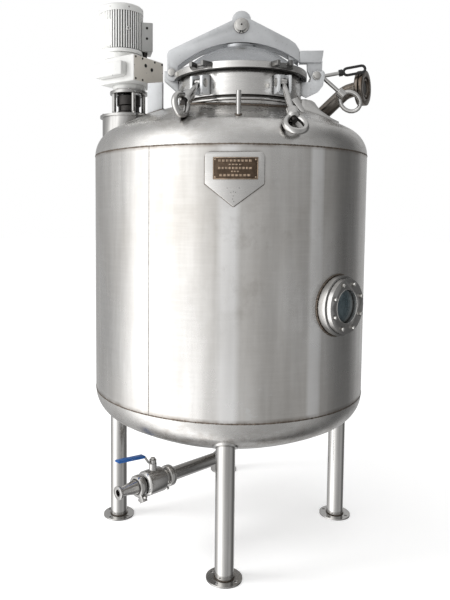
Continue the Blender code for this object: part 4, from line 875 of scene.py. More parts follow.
def bored(obj, *tools):
    """A piece with round tools cut away."""
    for tool in tools:
        mod = obj.modifiers.new("bore", "BOOLEAN")
        mod.operation = "DIFFERENCE"
        mod.object = tool
        mod.solver = "EXACT"
    done = baked(obj)
    for tool in tools:
        bpy.data.objects.remove(tool, do_unlink=True)
    smooth(done.data)
    return done


def sight_frame(distance=0.0):
    out = Vector((math.cos(SIGHT_ANGLE), math.sin(SIGHT_ANGLE), 0.0))
    return facing(Vector((0, 0, SIGHT_Z)) + out * distance, out)


class VESSEL_OT_body(bpy.types.Operator):
    """Shell and dished heads with their seam welds"""

    bl_idname = "vessel.body"
    bl_label = "Shell and heads"

    def execute(self, context):
        settings = context.scene.vessel_body
        sides = settings.segments
        gap = 0.0003
        top, bottom = SEAM_TOP, SEAM_BOTTOM
        outer, inner = SHELL_RADIUS, SHELL_RADIUS - WALL
        steps = [top - (top - bottom) * i / 12 for i in range(13)]
        profile = [(outer, z) for z in steps] + [(inner, z) for z in reversed(steps)]
        shell = spun("shell_plate", profile, sides, closed=True)
        shell = bored(shell, cutter("sight_bore", 0.060, 0.4, 0.7, sight_frame(), 48))
        settle(shell, "shell_steel", "tank", ("shell",))
        outline = head_profile(0.0) + list(reversed(head_profile(-WALL, 12, 10)))
        head = spun("top_head_plate", outline, sides, Matrix.Translation((0, 0, top + gap)))
        head = bored(
            head,
            cutter("manway_bore", 0.224, 1.5, 1.9, Matrix.Translation(MANWAY)),
            cutter("agitator_bore", 0.085, 1.4, 1.9, Matrix.Translation(AGITATOR), 48),
        )
        settle(head, "head_steel", "tank", ("top_head",))
        mirrored = [(radius, -height) for radius, height in outline]
        low = spun("bottom_head_plate", mirrored, sides, Matrix.Translation((0, 0, bottom - gap)))
        low = bored(low, cutter("outlet_bore", 0.0245, 0.3, 0.5, sides=32))
        settle(low, "head_steel", "tank", ("bottom_head",))
        bead = settings.weld_bead
        for label, z in (("weld_top_seam", top), ("weld_bottom_seam", bottom)):
            weld(label, circle((0, 0), outer - 0.0008, 220, z), bead, 0.0042, "tank")
        seam = math.radians(-90.0 - 29.9)
        at = Vector((math.cos(seam), math.sin(seam), 0.0)) * (outer - 0.0008)
        line = [at + Vector((0, 0, bottom + (top - bottom) * i / 40)) for i in range(41)]
        weld("weld_upright_seam", line, 0.0042, 0.0026, "tank", closed=False)
        return {"FINISHED"}


class VESSEL_OT_legs(bpy.types.Operator):
    """Tube legs, their pads, and feet with bolt holes"""

    bl_idname = "vessel.legs"
    bl_label = "Legs"

    def execute(self, context):
        for node in ("leg_left", "leg_front", "leg_right", "leg_rear"):
            low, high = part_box(node)
            centre = Vector(((low.x + high.x) / 2, (low.y + high.y) / 2, 0.0))
            mesh = merged_copy(node)
            leg = new_object(node + "_tube", mesh)
            spots = []
            for i in range(4):
                angle = math.radians(45 + 90 * i + 12)
                at = centre + Vector((math.cos(angle), math.sin(angle), 0.0)) * 0.0505
                spots.append(cutter("foot_hole", 0.0065, -0.01, 0.02, Matrix.Translation(at), 20))
            leg = bored(leg, *spots)
            smooth(leg.data, 30.0)
            settle(leg, "leg_steel", "tank", (node,))
            ring = [p + Vector((0, 0, 0.0072)) for p in circle(centre, 0.0352, 40)]
            weld(node + "_foot_weld", ring, 0.004, 0.004, "tank")
        return {"FINISHED"}


class VESSEL_OT_manway(bpy.types.Operator):
    """The manway's neck and ring, the weld at its foot and its brackets"""

    bl_idname = "vessel.manway"
    bl_label = "Manway"

    def execute(self, context):
        edge = context.scene.vessel_fittings.edge
        dressed("manway_neck", "neck_steel", 0.0012)
        foot = []
        for point in circle(MANWAY, 0.2325, 160):
            foot.append(Vector((point.x, point.y, head_height(point.x, point.y) + 0.001)))
        weld("weld_manway_foot", foot, 0.012, 0.012, "tank")
        collar = [Vector((p.x, p.y, 1.7040)) for p in circle(MANWAY, 0.2295, 120)]
        settle(tube("manway_collar", collar, 0.0062, True), "leg_steel", "tank")
        for corner in ("front_right", "front_left", "rear_right", "rear_left"):
            dressed("clevis_" + corner, "clevis_steel", edge)
        dressed("latch_bracket", "plate_steel", edge)
        dressed("hinge_bracket", "clevis_steel", edge)
        dressed("rod_bracket", "clevis_steel", edge)
        dressed("hinge_pin", "bolt_steel", 0.0008)
        return {"FINISHED"}


class VESSEL_OT_lid(bpy.types.Operator):
    """The dished lid with its rim, seal and ears"""

    bl_idname = "vessel.lid"
    bl_label = "Lid"

    def execute(self, context):
        edge = context.scene.vessel_fittings.edge
        sides = context.scene.vessel_body.segments
        low, rim_top = LID_LOW.z, RIM_TOP
        rise, dome, pad, pad_top = 0.105, 0.232, 0.064, LID_HIGH.z
        radius = (dome**2 + rise**2) / (2 * rise)
        cap_top = rim_top + rise
        edge_angle, pad_angle = math.asin(dome / radius), math.asin(pad / radius)
        outside = []
        for i in range(25):
            angle = pad_angle + (edge_angle - pad_angle) * i / 24
            outside.append((radius * math.sin(angle), cap_top - radius + radius * math.cos(angle)))
        inside = []
        inner_radius, inner_edge = radius - WALL, math.asin(0.224 / (radius - WALL))
        for i in range(19):
            angle = inner_edge * (1 - i / 18)
            height = cap_top - WALL - inner_radius + inner_radius * math.cos(angle)
            inside.append((inner_radius * math.sin(angle), height))
        profile = [(0.0, pad_top), (pad - 0.001, pad_top), (pad, pad_top - 0.001)] + outside
        profile += [(0.2565, rim_top), (0.258, rim_top - 0.0015), (0.258, low + 0.001), (0.257, low)]
        profile += [(0.224, low)] + inside
        lid = spun("lid_plate", profile, sides, Matrix.Translation(MANWAY))
        notch = block(
            "lid_notch", (-0.30, MANWAY.y - 0.0525, 1.79), (-0.1975, MANWAY.y + 0.0525, 1.86), edge=0.0
        )
        lid = bored(lid, notch)
        settle(lid, "lid_steel", "lid", ("lid",))
        dressed("lid_gasket", "rubber")
        ring = [Vector((p.x, p.y, rim_top + 0.0002)) for p in circle(MANWAY, 0.2335, 160)]
        weld("weld_lid_rim", ring, 0.005, 0.004, "lid")
        for corner in ("front_right", "front_left", "rear_right", "rear_left"):
            dressed("lid_fork_" + corner, "fork_steel", edge)
        return {"FINISHED"}


class VESSEL_OT_yoke(bpy.types.Operator):
    """The yoke's plates, block and pins over the lid"""

    bl_idname = "vessel.yoke"
    bl_label = "Yoke"

    def execute(self, context):
        edge = context.scene.vessel_fittings.edge
        for node in ("yoke_front", "yoke_rear", "yoke_block", "lid_lug"):
            dressed(node, "plate_steel", edge)
        for node in ("yoke_pin", "latch_pin"):
            dressed(node, "bolt_steel", 0.0010)
        low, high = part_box("yoke_pin")
        x, z = (low.x + high.x) / 2, (low.z + high.z) / 2
        split = []
        for side in (-1, 1):
            points = [
                Vector((x + 0.004, low.y + 0.0085, z + 0.012)),
                Vector((x + 0.002 * side, low.y + 0.0085, z - 0.020)),
                Vector((x + 0.008 * side, low.y + 0.0070, z - 0.030)),
            ]
            split.append(tube("split_leg", points, 0.0016))
        settle(joined("yoke_split_pin", split), "dark_gap", "lid")
        dot = bolt_head("yoke_pin_centre", 0.0035, 0.0008, 16)
        dot.data.transform(facing(Vector((x, low.y, z)), (0, -1, 0)))
        settle(dot, "dark_gap", "lid")
        return {"FINISHED"}


class VESSEL_OT_bolts(bpy.types.Operator):
    """Swing bolts with their eye nuts and pins, and the loose rods"""

    bl_idname = "vessel.bolts"
    bl_label = "Swing bolts and rods"

    def execute(self, context):
        for corner, (ring_centre, turn) in EYE_NUTS.items():
            at, axis, low = joint_of("swing_" + corner)
            out = Vector((-axis.y, axis.x, 0.0)) * -1.0
            hang = math.radians(180.0 + low)
            along = out * math.sin(hang) - Vector((0, 0, math.cos(hang)))
            frame_at = axes(axis.cross(along), axis, along, at)
            eye_bolt("swing_bolt_" + corner, frame_at, ring_centre, 90.0 - turn, BOLT_EYE, BOLT_NUT)
            side = -1.0 if corner.endswith("right") else 1.0
            for way, radius, thick in ((side, 0.0145, 0.0045), (-side, 0.0095, 0.0040)):
                head = bolt_head("pin_head", radius, thick, 24, 0.0, 0.0012)
                head.data.transform(facing(at + axis * way * 0.0247, axis * way))
                settle(named(head, "clevis_pin_%s_%s" % (corner, "head" if way == side else "end")),
                       "bolt_steel", "tank")
        rounded("eye_rod", "forged_steel")
        rounded("loop_rod", "forged_steel")
        rounded("rod_loop", "dipped_black")
        return {"FINISHED"}


def named(obj, name):
    obj.name = name
    obj.data.name = name
    return obj


def joint_of(name):
    """A joint's place, its axis and its lower limit."""
    for joint in frame["record"]["behaviour"]["joints"]:
        if joint["name"] == name:
            return Vector(joint["pos_m"]), Vector(joint["axis"]), joint["range_deg"][0]
    raise RuntimeError("no joint named " + name)


def axes(x, y, z, at):
    matrix = Matrix((x, y, z)).transposed().to_4x4()
    matrix.translation = at
    return matrix


def eye_bolt(node, at, ring_centre, turn, eye, nut_sizes):
    """A hinged rod along Z that ends in a forged eye nut, with the rod's thread showing in the eye."""
    radius, half, bore = eye
    stout, across_ring, bar = nut_sizes
    profile = [(bore, half), (radius - 0.001, half), (radius, half - 0.001), (radius, -half + 0.001)]
    profile += [(radius - 0.001, -half), (bore, -half)]
    across = at @ Matrix.Rotation(math.pi / 2, 4, "X")
    boss = ring_centre - NUT_BOSS_BACK
    parts = [spun("eye", profile, 28, across, closed=True)]
    shank = [(0.0, boss + 0.010), (SHANK, boss + 0.010), (SHANK, bore + 0.003), (0.0, bore + 0.003)]
    parts.append(spun("shank", shank, 20, at))
    nut = [(0.0, boss + 0.047), (stout * 0.67, boss + 0.047), (stout * 0.94, boss + 0.041)]
    nut += [(stout, boss + 0.032), (stout * 0.90, boss + 0.003), (stout * 0.77, boss), (0.0, boss)]
    parts.append(spun("nut", nut, 24, at))
    ring = []
    for i in range(44):
        angle = math.tau * i / 44
        wide = across_ring * math.cos(angle) * (1.0 + 0.16 * math.sin(angle))
        ring.append(at @ Matrix.Rotation(math.radians(turn), 4, "Z") @ Vector(
            (wide, 0.0, ring_centre + NUT_ALONG * math.sin(angle))))
    parts.append(tube("ring", ring, bar, True, 16))
    body = joined(node + "_forging", parts)
    remesh = body.modifiers.new("remesh", "REMESH")
    remesh.mode = "VOXEL"
    remesh.voxel_size = 0.0013
    relax = body.modifiers.new("relax", "SMOOTH")
    relax.factor = 0.5
    relax.iterations = 4
    body = baked(body)
    body.data.shade_smooth()
    settle(body, "forged_steel", BODY_OF[node], (node,))
    thread = [(0.0, boss + 0.060), (SHANK - 0.0012, boss + 0.060)]
    for i in range(5):
        height = boss + 0.059 - 0.0032 * i
        thread += [(SHANK, height - 0.0006), (SHANK - 0.0009, height - 0.0019)]
    thread.append((0.0, boss + 0.040))
    tip = spun(node + "_thread", thread, 20, at)
    settle(tip, "black_steel", BODY_OF[node])


def rounded(node, material):
    """A forged or dipped piece: the node's shape remeshed and relaxed into soft joins."""
    obj = new_object(node + "_forged", merged_copy(node))
    remesh = obj.modifiers.new("remesh", "REMESH")
    remesh.mode = "VOXEL"
    remesh.voxel_size = 0.0014
    relax = obj.modifiers.new("relax", "SMOOTH")
    relax.factor = 0.5
    relax.iterations = 2
    obj = baked(obj)
    obj.data.shade_smooth()
    return settle(obj, material, BODY_OF[node], (node,))


class VESSEL_OT_fittings(bpy.types.Operator):
    """Lifting lugs, the front post and the bent nozzle on the top head"""

    bl_idname = "vessel.fittings"
    bl_label = "Head fittings"

    def execute(self, context):
        edge = context.scene.vessel_fittings.edge
        dressed("lug_left", "plate_steel", edge)
        dressed("lug_right", "turned_steel", edge)
        dressed("lug_bar", "turned_steel", edge)
        dressed("front_post", "turned_steel", 0.0015)
        dressed("elbow_nozzle", "tinted_steel")
        dressed("elbow_flange", "tinted_steel", 0.0015)
        low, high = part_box("elbow_flange")
        out = Vector((0.88, -0.475, 0.0)).normalized()
        floor = (low + high) / 2 + out * 0.0086
        ring = [facing(floor, out) @ p for p in circle((0, 0), 0.0330, 48)]
        settle(tube("elbow_cap_ring", ring, 0.0050, True), "tinted_steel", "tank")
        # painted shade: a black disc for the shadowed hollow of the flange's recess
        middle = bolt_head("elbow_cap_middle", 0.0230, 0.0008, 32)
        middle.data.transform(facing(floor, out))
        settle(middle, "black_steel", "tank")
        low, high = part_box("front_post")
        x, y = (low.x + high.x) / 2, (low.y + high.y) / 2
        foot = [Vector((p.x, p.y, head_height(p.x, p.y) + 0.001)) for p in circle((x, y), 0.0095, 20)]
        weld("weld_post_foot", foot, 0.006, 0.006, "tank")
        turn = math.radians(-15)
        across, along = Vector((math.cos(turn), math.sin(turn), 0)), Vector((-math.sin(turn), math.cos(turn), 0))
        lug = Vector((-0.291, -0.150, 0.0))
        outline = []
        corners = [lug + across * i * 0.0325 + along * j * 0.0095 for i, j in ((-1, -1), (1, -1), (1, 1), (-1, 1))]
        for first, second in zip(corners, corners[1:] + corners[:1]):
            for i in range(8):
                p = first.lerp(second, i / 8)
                outline.append(Vector((p.x, p.y, head_height(p.x, p.y) + 0.001)))
        weld("weld_left_lug", outline, 0.006, 0.006, "tank")
        foot = Vector((0.340, 0.020, 0.0))
        ring = []
        for i in range(48):
            angle = math.tau * i / 48
            x, y = foot.x + 0.040 * math.cos(angle), foot.y + 0.0295 * math.sin(angle)
            ring.append(Vector((x, y, head_height(x, y) + 0.001)))
        weld("weld_elbow_foot", ring, 0.008, 0.007, "tank")
        return {"FINISHED"}


class VESSEL_OT_drive(bpy.types.Operator):
    """Agitator nozzle, lantern, gearbox and finned motor"""

    bl_idname = "vessel.drive"
    bl_label = "Agitator drive"

    def execute(self, context):
        settings = context.scene.vessel_drive
        dressed("agitator_nozzle", "nozzle_steel", 0.0010)
        dressed("agitator_lantern", "nozzle_steel", 0.0006)
        dressed("agitator_shaft", "turned_steel", 0.0006)
        dressed("gearbox", "gear_enamel", 0.0015)
        dressed("terminal_box", "box_enamel", 0.0020)
        self.motor(settings)
        flange_top = NOZZLE_HIGH.z
        bolts = bolt_head("nozzle_bolt", 0.0065, 0.006, 6, 0.0015)
        ring = circle_of(
            "nozzle_bolts", bolts, 8, 0.108, Matrix.Translation((AGITATOR.x, AGITATOR.y, flange_top)),
            "bolt_steel", 20.0,
        )
        settle(ring, "bolt_steel", "tank")
        bolts = bolt_head("boss_screw", 0.0045, 0.004, 12, 0.0)
        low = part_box("agitator_lantern")[1].z
        ring = circle_of(
            "lantern_screws", bolts, 8, 0.0735, Matrix.Translation((AGITATOR.x, AGITATOR.y, low)),
            "bolt_steel", 10.0,
        )
        settle(ring, "bolt_steel", "tank")
        at = Matrix.Translation(GEAR_AT) @ Matrix.Rotation(GEAR_TURN, 4, "Z")
        screws = []
        for y, z in ((-0.083, 1.843), (-0.083, 1.930), (0.090, 1.843), (0.090, 1.930), (-0.04, 1.843),
                     (0.04, 1.843), (-0.04, 1.930), (0.04, 1.930)):
            screw = bolt_head("face_screw", 0.0042, 0.0022, 12)
            screw.data.transform(at @ facing(Vector((0.0951, y, z)), (1, 0, 0)))
            screws.append(screw)
        for y, z in ((-0.02, 1.905), (0.02, 1.895)):
            plug = bolt_head("face_plug", 0.0072, 0.0025, 20)
            plug.data.transform(at @ facing(Vector((0.0951, y, z)), (1, 0, 0)))
            screws.append(plug)
        settle(joined("gearbox_screws", screws), "black_steel", "tank")
        # a coupling round the shaft, black and full height as painted shade for the lantern's shadowed inside
        coupling = [(0.0, 1.792), (0.049, 1.792), (0.051, 1.790), (0.051, 1.752), (0.045, 1.748)]
        coupling += [(0.045, 1.728), (0.051, 1.724), (0.051, 1.7115), (0.0, 1.7115)]
        piece = spun("shaft_coupling", coupling, 32, Matrix.Translation(AGITATOR))
        settle(piece, "black_steel", "agitator")
        self.terminal_box()
        return {"FINISHED"}

    def terminal_box(self):
        """Dark screws on the box's face, its gland below, and the blank strip on the motor."""
        at = Matrix.Translation(MOTOR) @ Matrix.Rotation(math.radians(13.0), 4, "Z")
        dark = []
        for z in (2.0775, 2.034):
            screw = bolt_head("box_screw", 0.0052, 0.0012, 16)
            screw.data.transform(at @ facing(Vector((0.106, -0.0452, z)), (0, -1, 0)))
            dark.append(screw)
        gland = [(0.0, 1.9795), (0.0105, 1.9795), (0.0105, 1.971), (0.0085, 1.969), (0.0085, 1.958), (0.0, 1.957)]
        dark.append(spun("gland", gland, 20, at @ Matrix.Translation((0.100, -0.022, 0.0))))
        settle(joined("terminal_box_fittings", dark), "black_steel", "tank")
        turn = math.radians(-114)
        out = Vector((math.cos(turn), math.sin(turn), 0.0))
        side = Vector((-out.y, out.x, 0.0))
        strip_at = axes(side, out, Vector((0, 0, 1)), MOTOR + out * 0.0905)
        strip = block("motor_strip", (-0.009, -0.004, 1.990), (0.009, 0.002, 2.098), strip_at, 0.001)
        settle(strip, "drive_enamel", "tank")

    def motor(self, settings):
        """The motor's body with fins round it, its end bell, foot flange and cowl."""
        centre = Matrix.Translation(MOTOR)
        radius = (MOTOR_HIGH.x - MOTOR_LOW.x) / 2
        core = radius - settings.fin_deep
        bottom, top = 1.966, MOTOR_HIGH.z
        foot = radius - 0.008
        low = MOTOR_LOW.z
        profile = [(0.0, top), (core, top), (core, bottom + 0.018), (radius - 0.001, bottom + 0.014)]
        profile += [(radius, bottom + 0.012), (radius, bottom + 0.001), (radius - 0.001, bottom)]
        profile += [(foot, bottom), (foot, low + 0.001), (foot - 0.001, low), (0.0, low)]
        body = spun("motor_body", profile, 96, centre)
        settle(body, "motor_enamel", "tank", ("motor",))
        fin = block("motor_fin", (core - 0.002, -0.0030, bottom + 0.016), (radius - 0.0004, 0.0030, top - 0.001))
        ring = circle_of("motor_fins", fin, settings.fins, 0.0, centre, "motor_enamel")
        settle(ring, "motor_enamel", "tank")
        cowl_low, cowl_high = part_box("fan_cowl")
        edge = (cowl_high.x - cowl_low.x) / 2
        z = cowl_high.z
        profile = [(0.0, z), (0.030, z - 0.0004), (0.058, z - 0.0018), (0.078, z - 0.0050)]
        profile += [(0.087, z - 0.0090), (edge - 0.0006, z - 0.0145), (edge, z - 0.018)]
        profile += [(edge, cowl_low.z - 0.010), (edge - 0.002, cowl_low.z - 0.010), (edge - 0.002, cowl_low.z)]
        profile += [(0.0, cowl_low.z)]
        cowl = spun("motor_cowl", profile, 96, centre)
        settle(cowl, "drive_enamel", "tank", ("fan_cowl",))
        screws = []
        for angle in (-110, -60, -10, 60, 140, 200):
            turn = math.radians(angle)
            out = Vector((math.cos(turn), math.sin(turn), 0.0))
            screw = bolt_head("cowl_screw", 0.0034, 0.0016, 12)
            screw.data.transform(facing(MOTOR + out * (edge - 0.001) + Vector((0, 0, z - 0.024)), out))
            screws.append(screw)
        settle(joined("cowl_screws", screws), "bolt_steel", "tank")
        turn = math.radians(-62)
        out = Vector((math.cos(turn), math.sin(turn), 0.0))
        side = Vector((-out.y, out.x, 0.0))
        eye = MOTOR + out * (radius + 0.0005) + Vector((0, 0, 2.060))
        ring = [eye + side * 0.0065 * math.cos(a) + Vector((0, 0, 0.0065)) * math.sin(a)
                for a in [math.tau * i / 20 for i in range(20)]]
        settle(tube("motor_eye", ring, 0.0022, True), "drive_enamel", "tank")


class VESSEL_OT_sight(bpy.types.Operator):
    """The sight glass with its ring of cap bolts"""

    bl_idname = "vessel.sight"
    bl_label = "Sight glass"

    def execute(self, context):
        count = context.scene.vessel_fittings.sight_bolts
        dressed("sight_flange", "turned_steel", 0.0012)
        dressed("sight_glass", "thick_glass")
        bolt = bolt_head("sight_bolt", 0.0066, 0.0085, 6, 0.0016, 0.0022)
        ring = circle_of("sight_bolts", bolt, count, 0.0825, sight_frame(SIGHT_FACE), "bolt_steel", 22.5)
        settle(ring, "bolt_steel", "tank")
        seal = [sight_frame(0.5735) @ p for p in circle((0, 0), 0.0985, 72)]
        settle(tube("sight_seal", seal, 0.0016, True), "rubber", "tank")
        lip = [sight_frame(SIGHT_FACE - 0.0010) @ p for p in circle((0, 0), 0.0605, 64)]
        settle(tube("sight_lip", lip, 0.0022, True), "turned_steel", "tank")
        seam = []
        for point in circle((0, 0), 0.109, 90):
            world = sight_frame(0.0) @ point
            out = Vector((math.cos(SIGHT_ANGLE), math.sin(SIGHT_ANGLE), 0.0))
            across = world.x * -out.y + world.y * out.x
            seam.append(world + out * (math.sqrt(SHELL_RADIUS**2 - across**2) + 0.0008))
        weld("weld_sight", seam, 0.008, 0.007, "tank")
        return {"FINISHED"}


class VESSEL_OT_nameplate(bpy.types.Operator):
    """The five-sided pad and the bronze plate with ruled lines"""

    bl_idname = "vessel.nameplate"
    bl_label = "Nameplate"

    def execute(self, context):
        dressed("nameplate_pad", "ring_steel", 0.0015)
        dressed("nameplate", "plate_bronze", 0.0006)
        low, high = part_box("nameplate")
        y = low.y
        parts = []
        wide, proud = 0.0026, 0.0016
        bars = (
            ((low.x, high.z - wide), (high.x, high.z)), ((low.x, low.z), (high.x, low.z + wide)),
            ((low.x, low.z), (low.x + wide, high.z)), ((high.x - wide, low.z), (high.x, high.z)),
        )
        for (x1, z1), (x2, z2) in bars:
            parts.append(block("border", (x1, y - proud, z1), (x2, y + 0.0005, z2), edge=0.0004))
        middle = (low.x + high.x) / 2
        rows = ((0.0605, 0.056, 9), (0.0480, 0.022, 4), (0.0365, 0.056, 10), (0.0255, 0.014, 3), (0.0135, 0.052, 8))
        for height, half, count in rows:
            step = 2 * half / count
            for i in range(count):
                x = middle - half + step * i
                tall = 0.0036 if half > 0.03 else 0.0022
                z = low.z + height
                low_at, high_at = (x, y - proud, z - tall), (x + step * 0.72, y + 0.0005, z + tall)
                parts.append(block("ruled_line", low_at, high_at, edge=0.0004))
        settle(joined("nameplate_relief", parts), "raised_bronze", "tank")
        screws = []
        for x in (low.x + 0.0075, high.x - 0.0075):
            for z in (low.z + 0.0075, high.z - 0.0075):
                screw = bolt_head("plate_screw", 0.0030, 0.0016, 12, 0.0, 0.0006)
                screw.data.transform(facing(Vector((x, y, z)), (0, -1, 0)))
                screws.append(screw)
        settle(joined("nameplate_screws", screws), "raised_bronze", "tank")
        pad_low, pad_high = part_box("nameplate_pad")
        face = pad_low.y
        dots = []
        for x, z in ((-0.006, 1.376), (0.034, 1.376), (0.006, 1.362), (0.014, 1.364), (0.022, 1.362),
                     (0.014, 1.350), (0.012, 1.340), (0.016, 1.332)):
            dot = bolt_head("punch_mark", 0.0013, 0.0003, 8)
            dot.data.transform(facing(Vector((x, face, z)), (0, -1, 0)))
            dots.append(dot)
        settle(joined("pad_punch_marks", dots), "dark_gap", "tank")
        outline = [(-0.080, 1.390), (0.015, 1.315), (0.115, 1.390), (0.115, 1.479), (0.100, 1.494),
                   (-0.065, 1.494), (-0.080, 1.479)]
        path = []
        for (x1, z1), (x2, z2) in zip(outline, outline[1:] + outline[:1]):
            for i in range(12):
                x, z = x1 + (x2 - x1) * i / 12, z1 + (z2 - z1) * i / 12
                path.append(Vector((x, -math.sqrt(SHELL_RADIUS**2 - x**2) - 0.0006, z)))
        weld("weld_pad", path, 0.0045, 0.004, "tank")
        return {"FINISHED"}


class VESSEL_OT_outlet(bpy.types.Operator):
    """The outlet pipe, its ball valve, clamps, reducer and blue lever"""

    bl_idname = "vessel.outlet"
    bl_label = "Outlet and valve"

    def execute(self, context):
        dressed("outlet_pipe", "leg_steel", 0.0004)
        dressed("valve_body", "turned_steel", 0.0012)
        dressed("clamp_inner", "turned_steel", 0.0008)
        dressed("clamp_outer", "turned_steel", 0.0008)
        dressed("outlet_reducer", "turned_steel", 0.0008)
        dressed("valve_lever", "turned_steel", 0.0008)
        dressed("lever_grip", "blue_vinyl", 0.0030)
        low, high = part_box("valve_lever")
        body_low, body_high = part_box("valve_body")
        record = frame["record"]["behaviour"]["joints"]
        pivot = [Vector(j["pos_m"]) for j in record if j["name"] == "lever_turn"][0]
        stem = Vector((pivot.x, pivot.y, body_high.z - 0.0015))
        nut = bolt_head("stem_nut", 0.0095, 0.0075, 6, 0.0012, 0.0018)
        nut.data.transform(Matrix.Translation((stem.x, stem.y, stem.z - 0.0075)))
        settle(nut, "bolt_steel", "valve_lever")
        along = Vector((pivot.x, pivot.y, 0.0)).normalized()
        centre_z = OUTLET_Z
        bolts = []
        for distance in (VALVE_MIDDLE - VALVE_HALF, VALVE_MIDDLE + VALVE_HALF):
            at = along * distance + Vector((0, 0, centre_z))
            for i in range(4):
                angle = math.radians(45 + 90 * i)
                side = Vector((-along.y, along.x, 0.0))
                offset = side * 0.034 * math.cos(angle) + Vector((0, 0, 0.034 * math.sin(angle)))
                head = bolt_head("body_bolt", 0.0055, 0.0045, 6)
                way = -along if distance < VALVE_MIDDLE else along
                head.data.transform(facing(at + offset, way))
                bolts.append(head)
        settle(joined("valve_bolts", bolts), "bolt_steel", "tank")
        seat_at = facing(along * (VALVE_MIDDLE + VALVE_HALF) + Vector((0, 0, centre_z)), along)
        seat = [(0.0395, 0.0), (0.0395, 0.0030), (0.0300, 0.0030), (0.0300, 0.0)]
        settle(spun("valve_seat", seat, 48, seat_at, closed=True), "white_seat", "tank")
        return {"FINISHED"}


class VESSEL_OT_studio(bpy.types.Operator):
    """The pale floor, the soft light and the camera"""

    bl_idname = "vessel.studio"
    bl_label = "Studio"

    def execute(self, context):
        settings = context.scene.vessel_studio
        half = settings.floor / 2
        mesh = bpy.data.meshes.new("studio_floor")
        corners = [(-half, -half, 0), (half, -half, 0), (half, half, 0), (-half, half, 0)]
        mesh.from_pydata(corners, [], [(0, 1, 2, 3)])
        floor = new_object("studio_floor", mesh)
        colour = tuple(settings.backdrop)
        shade = Shade("studio_white", colour, 0.9, 0.0)
        shade.shader.inputs["Emission Color"].default_value = (1.0, 1.0, 1.0, 1.0)
        shade.shader.inputs["Emission Strength"].default_value = 0.40
        shade.shader.inputs["Specular IOR Level"].default_value = 0.1
        floor.data.materials.append(shade.material)
        floor.visible_glossy = False
        self.world(context)
        self.light(context, "key_light", (-3.7, -1.0, 2.7), 1.6, settings.key)
        self.camera(context)
        return {"FINISHED"}

    def light(self, context, name, at, size, power):
        data = bpy.data.lights.new(name, "AREA")
        data.shape = "SQUARE"
        data.size = size
        data.energy = power
        lamp = bpy.data.objects.new(name, data)
        context.scene.collection.objects.link(lamp)
        lamp.location = at
        lamp.visible_glossy = False
        aim = Vector((0.0, 0.0, 1.1)) - Vector(at)
        lamp.rotation_euler = aim.to_track_quat("-Z", "Y").to_euler()

    def world(self, context):
        """White to the camera, soft overhead light for paint, and pale and dark walls for metal."""
        world = bpy.data.worlds.new("studio_world")
        world.use_nodes = True
        context.scene.world = world
        tree = world.node_tree
        tree.nodes.clear()
        made, link = tree.nodes.new, tree.links.new
        coords, parts = made("ShaderNodeTexCoord"), made("ShaderNodeSeparateXYZ")
        link(coords.outputs["Generated"], parts.inputs["Vector"])
        down, turn = made("ShaderNodeMath"), made("ShaderNodeMath")
        down.operation, turn.operation = "MULTIPLY", "ARCTAN2"
        down.inputs[1].default_value = -1.0
        link(parts.outputs["Y"], down.inputs[0])
        link(parts.outputs["X"], turn.inputs[0])
        link(down.outputs[0], turn.inputs[1])
        share, walls = made("ShaderNodeMapRange"), made("ShaderNodeValToRGB")
        share.inputs["From Min"].default_value = -math.pi
        share.inputs["From Max"].default_value = math.pi
        link(turn.outputs[0], share.inputs["Value"])
        link(share.outputs["Result"], walls.inputs["Fac"])
        ends = walls.color_ramp.elements
        for element, (degrees, value) in zip(ends, (STUDIO_WALLS[0], STUDIO_WALLS[-1])):
            element.position = (degrees + 180) / 360
            element.color = (value, value, value, 1.0)
        for degrees, value in STUDIO_WALLS[1:-1]:
            element = ends.new((degrees + 180) / 360)
            element.color = (value, value, value, 1.0)
        rise, height = made("ShaderNodeMapRange"), made("ShaderNodeMix")
        rise.interpolation_type = "SMOOTHSTEP"
        rise.inputs["From Min"].default_value = 0.55
        rise.inputs["From Max"].default_value = 1.0
        height.data_type = "RGBA"
        height.inputs[7].default_value = (*CEILING_SHINE, 1.0)
        link(parts.outputs["Z"], rise.inputs["Value"])
        link(rise.outputs["Result"], height.inputs[0])
        link(walls.outputs["Color"], height.inputs[6])
        soft, sky = made("ShaderNodeMapRange"), made("ShaderNodeBackground")
        soft.inputs["From Min"].default_value = -0.1
        soft.inputs["From Max"].default_value = 1.0
        soft.inputs["To Min"].default_value = HORIZON_LIGHT
        soft.inputs["To Max"].default_value = ZENITH_LIGHT
        link(parts.outputs["Z"], soft.inputs["Value"])
        sides, dimmed = made("ShaderNodeMapRange"), made("ShaderNodeMath")
        sides.inputs["From Min"].default_value = -1.0
        sides.inputs["To Min"].default_value = LEFT_SHARE
        sides.inputs["To Max"].default_value = RIGHT_SHARE
        dimmed.operation = "MULTIPLY"
        link(parts.outputs["X"], sides.inputs["Value"])
        link(soft.outputs["Result"], dimmed.inputs[0])
        link(sides.outputs["Result"], dimmed.inputs[1])
        link(dimmed.outputs[0], sky.inputs["Strength"])
        path, studio, white = made("ShaderNodeLightPath"), made("ShaderNodeBackground"), made("ShaderNodeBackground")
        link(height.outputs[2], studio.inputs["Color"])
        glossy, seen, out = made("ShaderNodeMixShader"), made("ShaderNodeMixShader"), made("ShaderNodeOutputWorld")
        link(path.outputs["Is Glossy Ray"], glossy.inputs["Fac"])
        link(sky.outputs[0], glossy.inputs[1])
        link(studio.outputs[0], glossy.inputs[2])
        link(path.outputs["Is Camera Ray"], seen.inputs["Fac"])
        link(glossy.outputs[0], seen.inputs[1])
        link(white.outputs[0], seen.inputs[2])
        white.inputs["Color"].default_value = (1.0, 1.0, 1.0, 1.0)
        link(seen.outputs[0], out.inputs["Surface"])

